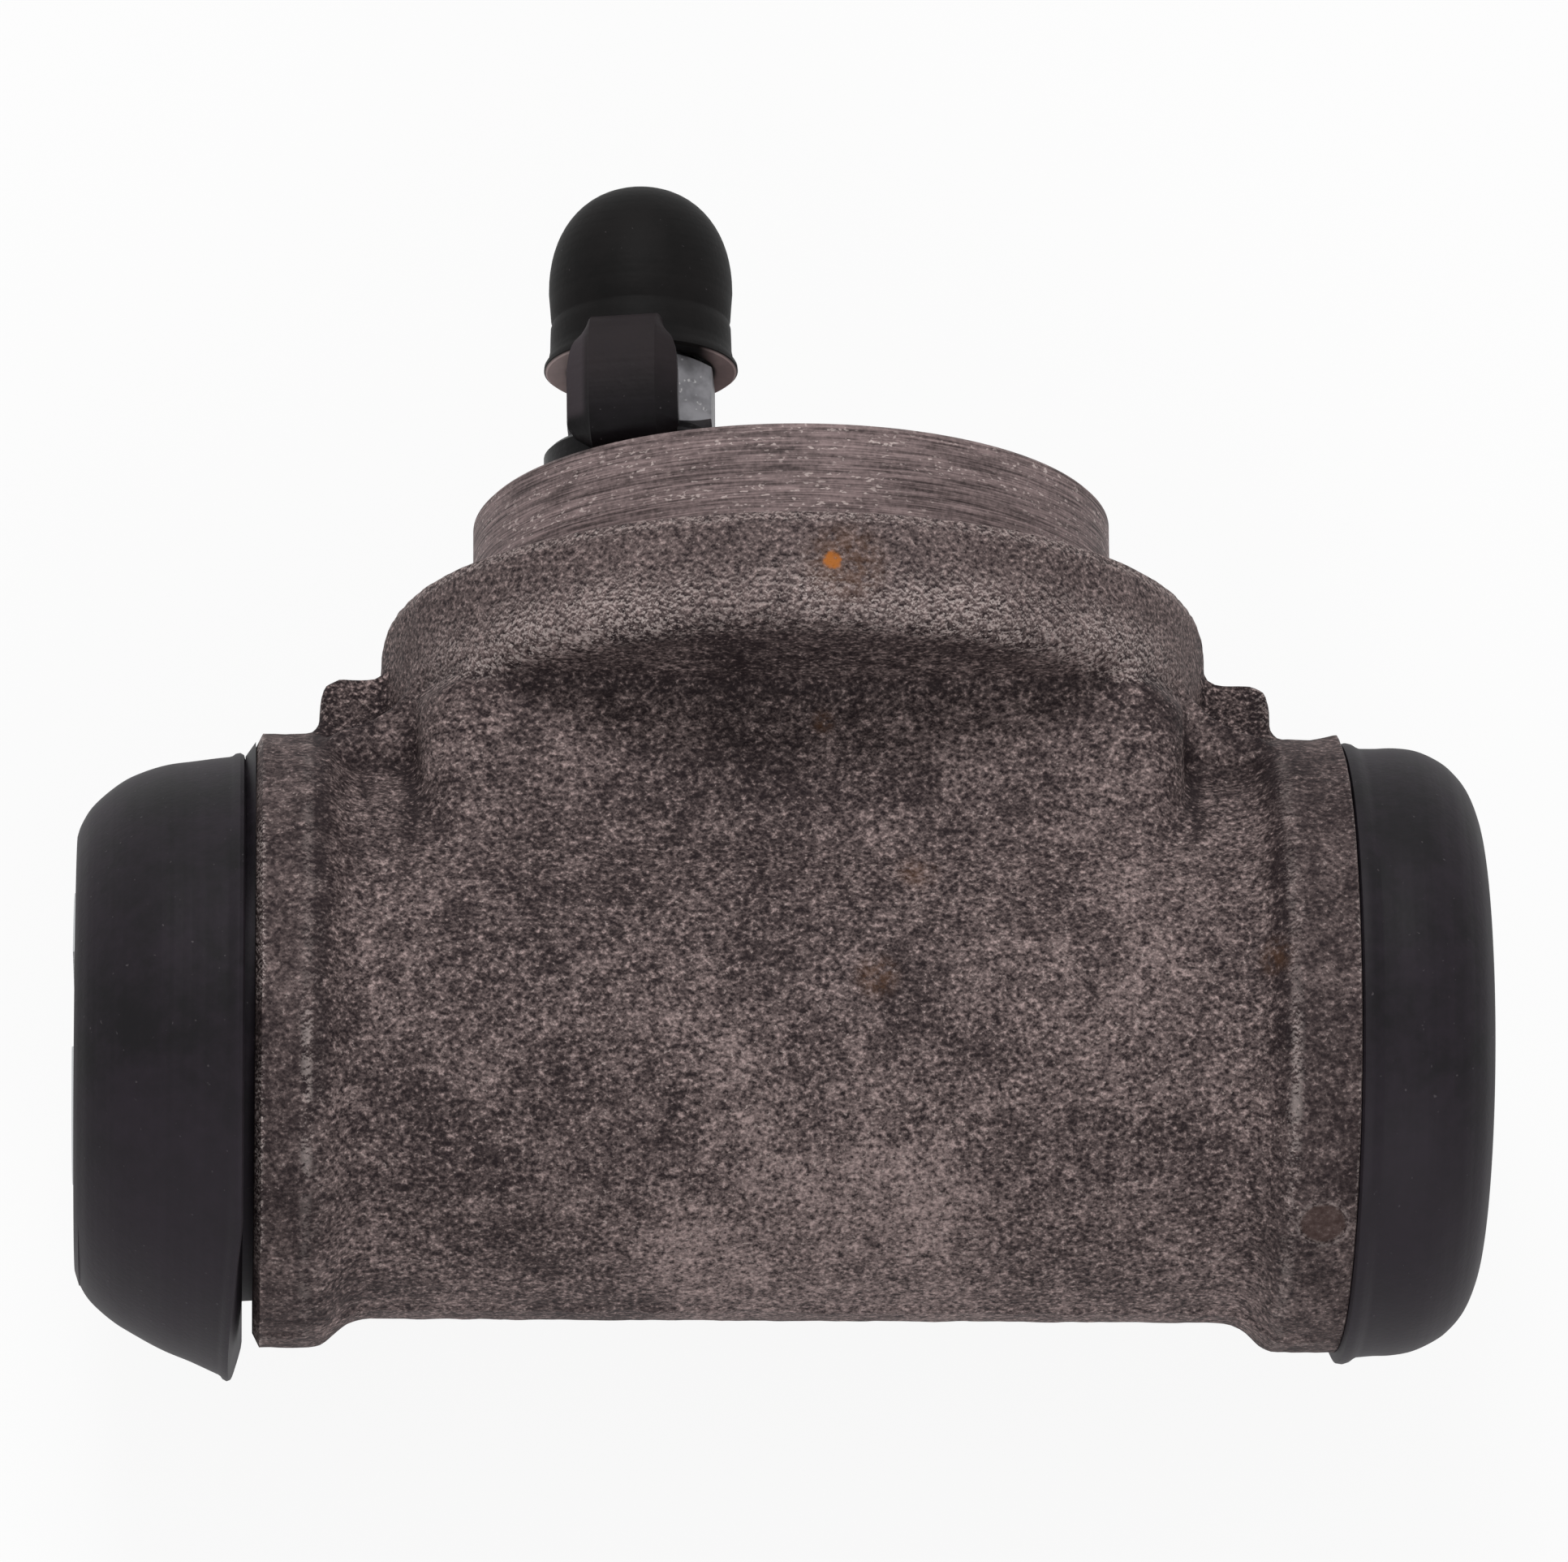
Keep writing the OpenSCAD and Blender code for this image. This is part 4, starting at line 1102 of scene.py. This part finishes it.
boots = ((1, "right", right_boot(boot_black), RIGHT_PISTON_END),
         (-1, "left", left_boot(boot_black), LEFT_PISTON_END))
for side, hand, (wall, fold), piston_end in boots:
    on_bore(side * (HALF_LEN + FLANGE_HOLD))
    on_bore(side * (piston_end - PISTON_HOLD))
    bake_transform(wall)
    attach(fold, f"{hand}_plunger")
    for piece in (wall, fold):
        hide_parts(f"{hand}_dust_boot")

cap = bleed_cap(cap_black)
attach(cap, "cap")
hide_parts("bleed_cap")

strap = cap_strap(strap_rubber())
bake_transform(strap)
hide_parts("cap_strap")

winder = helix_tree()
port_threads = threads(winder, iron)
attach(port_threads, "housing")

spring_middle = (SPRING_START + SPRING_END) / 2
halves = (("left", 0.0, COIL_TURNS / 2, SPRING_START + SPRING_HOLD),
          ("right", COIL_TURNS / 2, COIL_TURNS, SPRING_END - SPRING_HOLD))
for hand, first, last, far in halves:
    half = spring_half(winder, spring_wire, f"spring_{hand}_half", first, last)
    on_bore(spring_middle)
    on_bore(far)
    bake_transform(half)
    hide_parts("return_spring")


# Stage, light and camera

# Floor: half of its width in metres, how far it lies below the object and how white the camera sees it
FLOOR_REACH = 1.5
FLOOR_GAP = 0.05
FLOOR_GLOW = 0.9
WORLD_STRENGTH = 0.5
# Middle of the object, which the lamps point at, in metres
LAMP_TARGET = (0, -0.015, 0)
# Camera: lens and sensor, the place that it looks at, the way back to it, its distance in metres and its roll
FOCAL_LENGTH = 281.3
SENSOR_WIDTH = 36.0
CAMERA_TARGET = (-0.5, -8.0, 0.0)
CAMERA_BACK = (-0.0454, -0.3087, 0.950)
CAMERA_DISTANCE = 0.68
CAMERA_ROLL = math.radians(-0.45)


def seen_directly(tree):
    """1 on rays from the camera, or by way of metal or glass, which see the white backdrop."""
    path = Wire(tree).node("ShaderNodeLightPath", {}, {}).socket.node
    ray_names = ("Is Camera Ray", "Is Glossy Ray", "Is Transmission Ray")
    camera_ray, glossy_ray, through_ray = (Wire(tree, path.outputs[name]) for name in ray_names)
    return camera_ray.at_least(glossy_ray).at_least(through_ray)


def floor():
    mesh = bpy.data.meshes.new("floor")
    level = cad_low.z - FLOOR_GAP * MM
    corners = [(-FLOOR_REACH, -FLOOR_REACH, level), (FLOOR_REACH, -FLOOR_REACH, level),
               (FLOOR_REACH, FLOOR_REACH, level), (-FLOOR_REACH, FLOOR_REACH, level)]
    mesh.from_pydata(corners, [], [(0, 1, 2, 3)])
    material = bpy.data.materials.new("floor")
    material.use_nodes = True
    tree = material.node_tree
    root = Wire(tree)
    paper = root.node("ShaderNodeBsdfDiffuse", {}, {"Color": colour(240, 240, 240)})
    white = root.node("ShaderNodeEmission", {}, {"Color": (1.0, 1.0, 1.0, 1.0), "Strength": 1.0})
    mixed = root.node("ShaderNodeMixShader", {}, {0: seen_directly(tree) * FLOOR_GLOW, 1: paper, 2: white})
    tree.links.new(mixed.socket, tree.nodes["Material Output"].inputs["Surface"])
    mesh.materials.append(material)
    plane = bpy.data.objects.new("floor", mesh)
    bpy.context.scene.collection.objects.link(plane)


def world_light(strength):
    world = bpy.data.worlds.new("studio")
    bpy.context.scene.world = world
    world.use_nodes = True
    tree = world.node_tree
    background = tree.nodes["Background"]
    level = strength + seen_directly(tree) * (1.0 - strength)
    tree.links.new(level.socket, background.inputs["Strength"])
    background.inputs["Color"].default_value = (1.0, 1.0, 1.0, 1.0)


def lamp(name, place, size, power):
    light = bpy.data.lights.new(name, "AREA")
    light.shape = "DISK"
    light.size = size
    light.energy = power
    holder = bpy.data.objects.new(name, light)
    holder.location = place
    holder.rotation_euler = (Vector(LAMP_TARGET) - Vector(place)).to_track_quat("-Z", "Y").to_euler()
    bpy.context.scene.collection.objects.link(holder)


def camera():
    lens = bpy.data.cameras.new("camera")
    lens.sensor_width = SENSOR_WIDTH
    lens.lens = FOCAL_LENGTH
    lens.clip_start = 0.01
    holder = bpy.data.objects.new("camera", lens)
    target = Vector(CAMERA_TARGET) * MM
    back = Vector(CAMERA_BACK).normalized()
    right = Vector((0, 1, 0)).cross(back).normalized()
    up = back.cross(right)
    turned_right = right * math.cos(CAMERA_ROLL) + up * math.sin(CAMERA_ROLL)
    turned_up = up * math.cos(CAMERA_ROLL) - right * math.sin(CAMERA_ROLL)
    turn = Matrix((turned_right, turned_up, back)).transposed().to_4x4()
    holder.matrix_world = Matrix.Translation(target + back * CAMERA_DISTANCE) @ turn
    bpy.context.scene.collection.objects.link(holder)
    bpy.context.scene.camera = holder


floor()
world_light(WORLD_STRENGTH)
lamp("key", place=(-0.06, 0.36, 0.55), size=0.22, power=1.8)
lamp("fill", place=(0.1, -0.5, 0.42), size=0.3, power=0.85)
camera()
bpy.context.scene.view_settings.view_transform = "Standard"
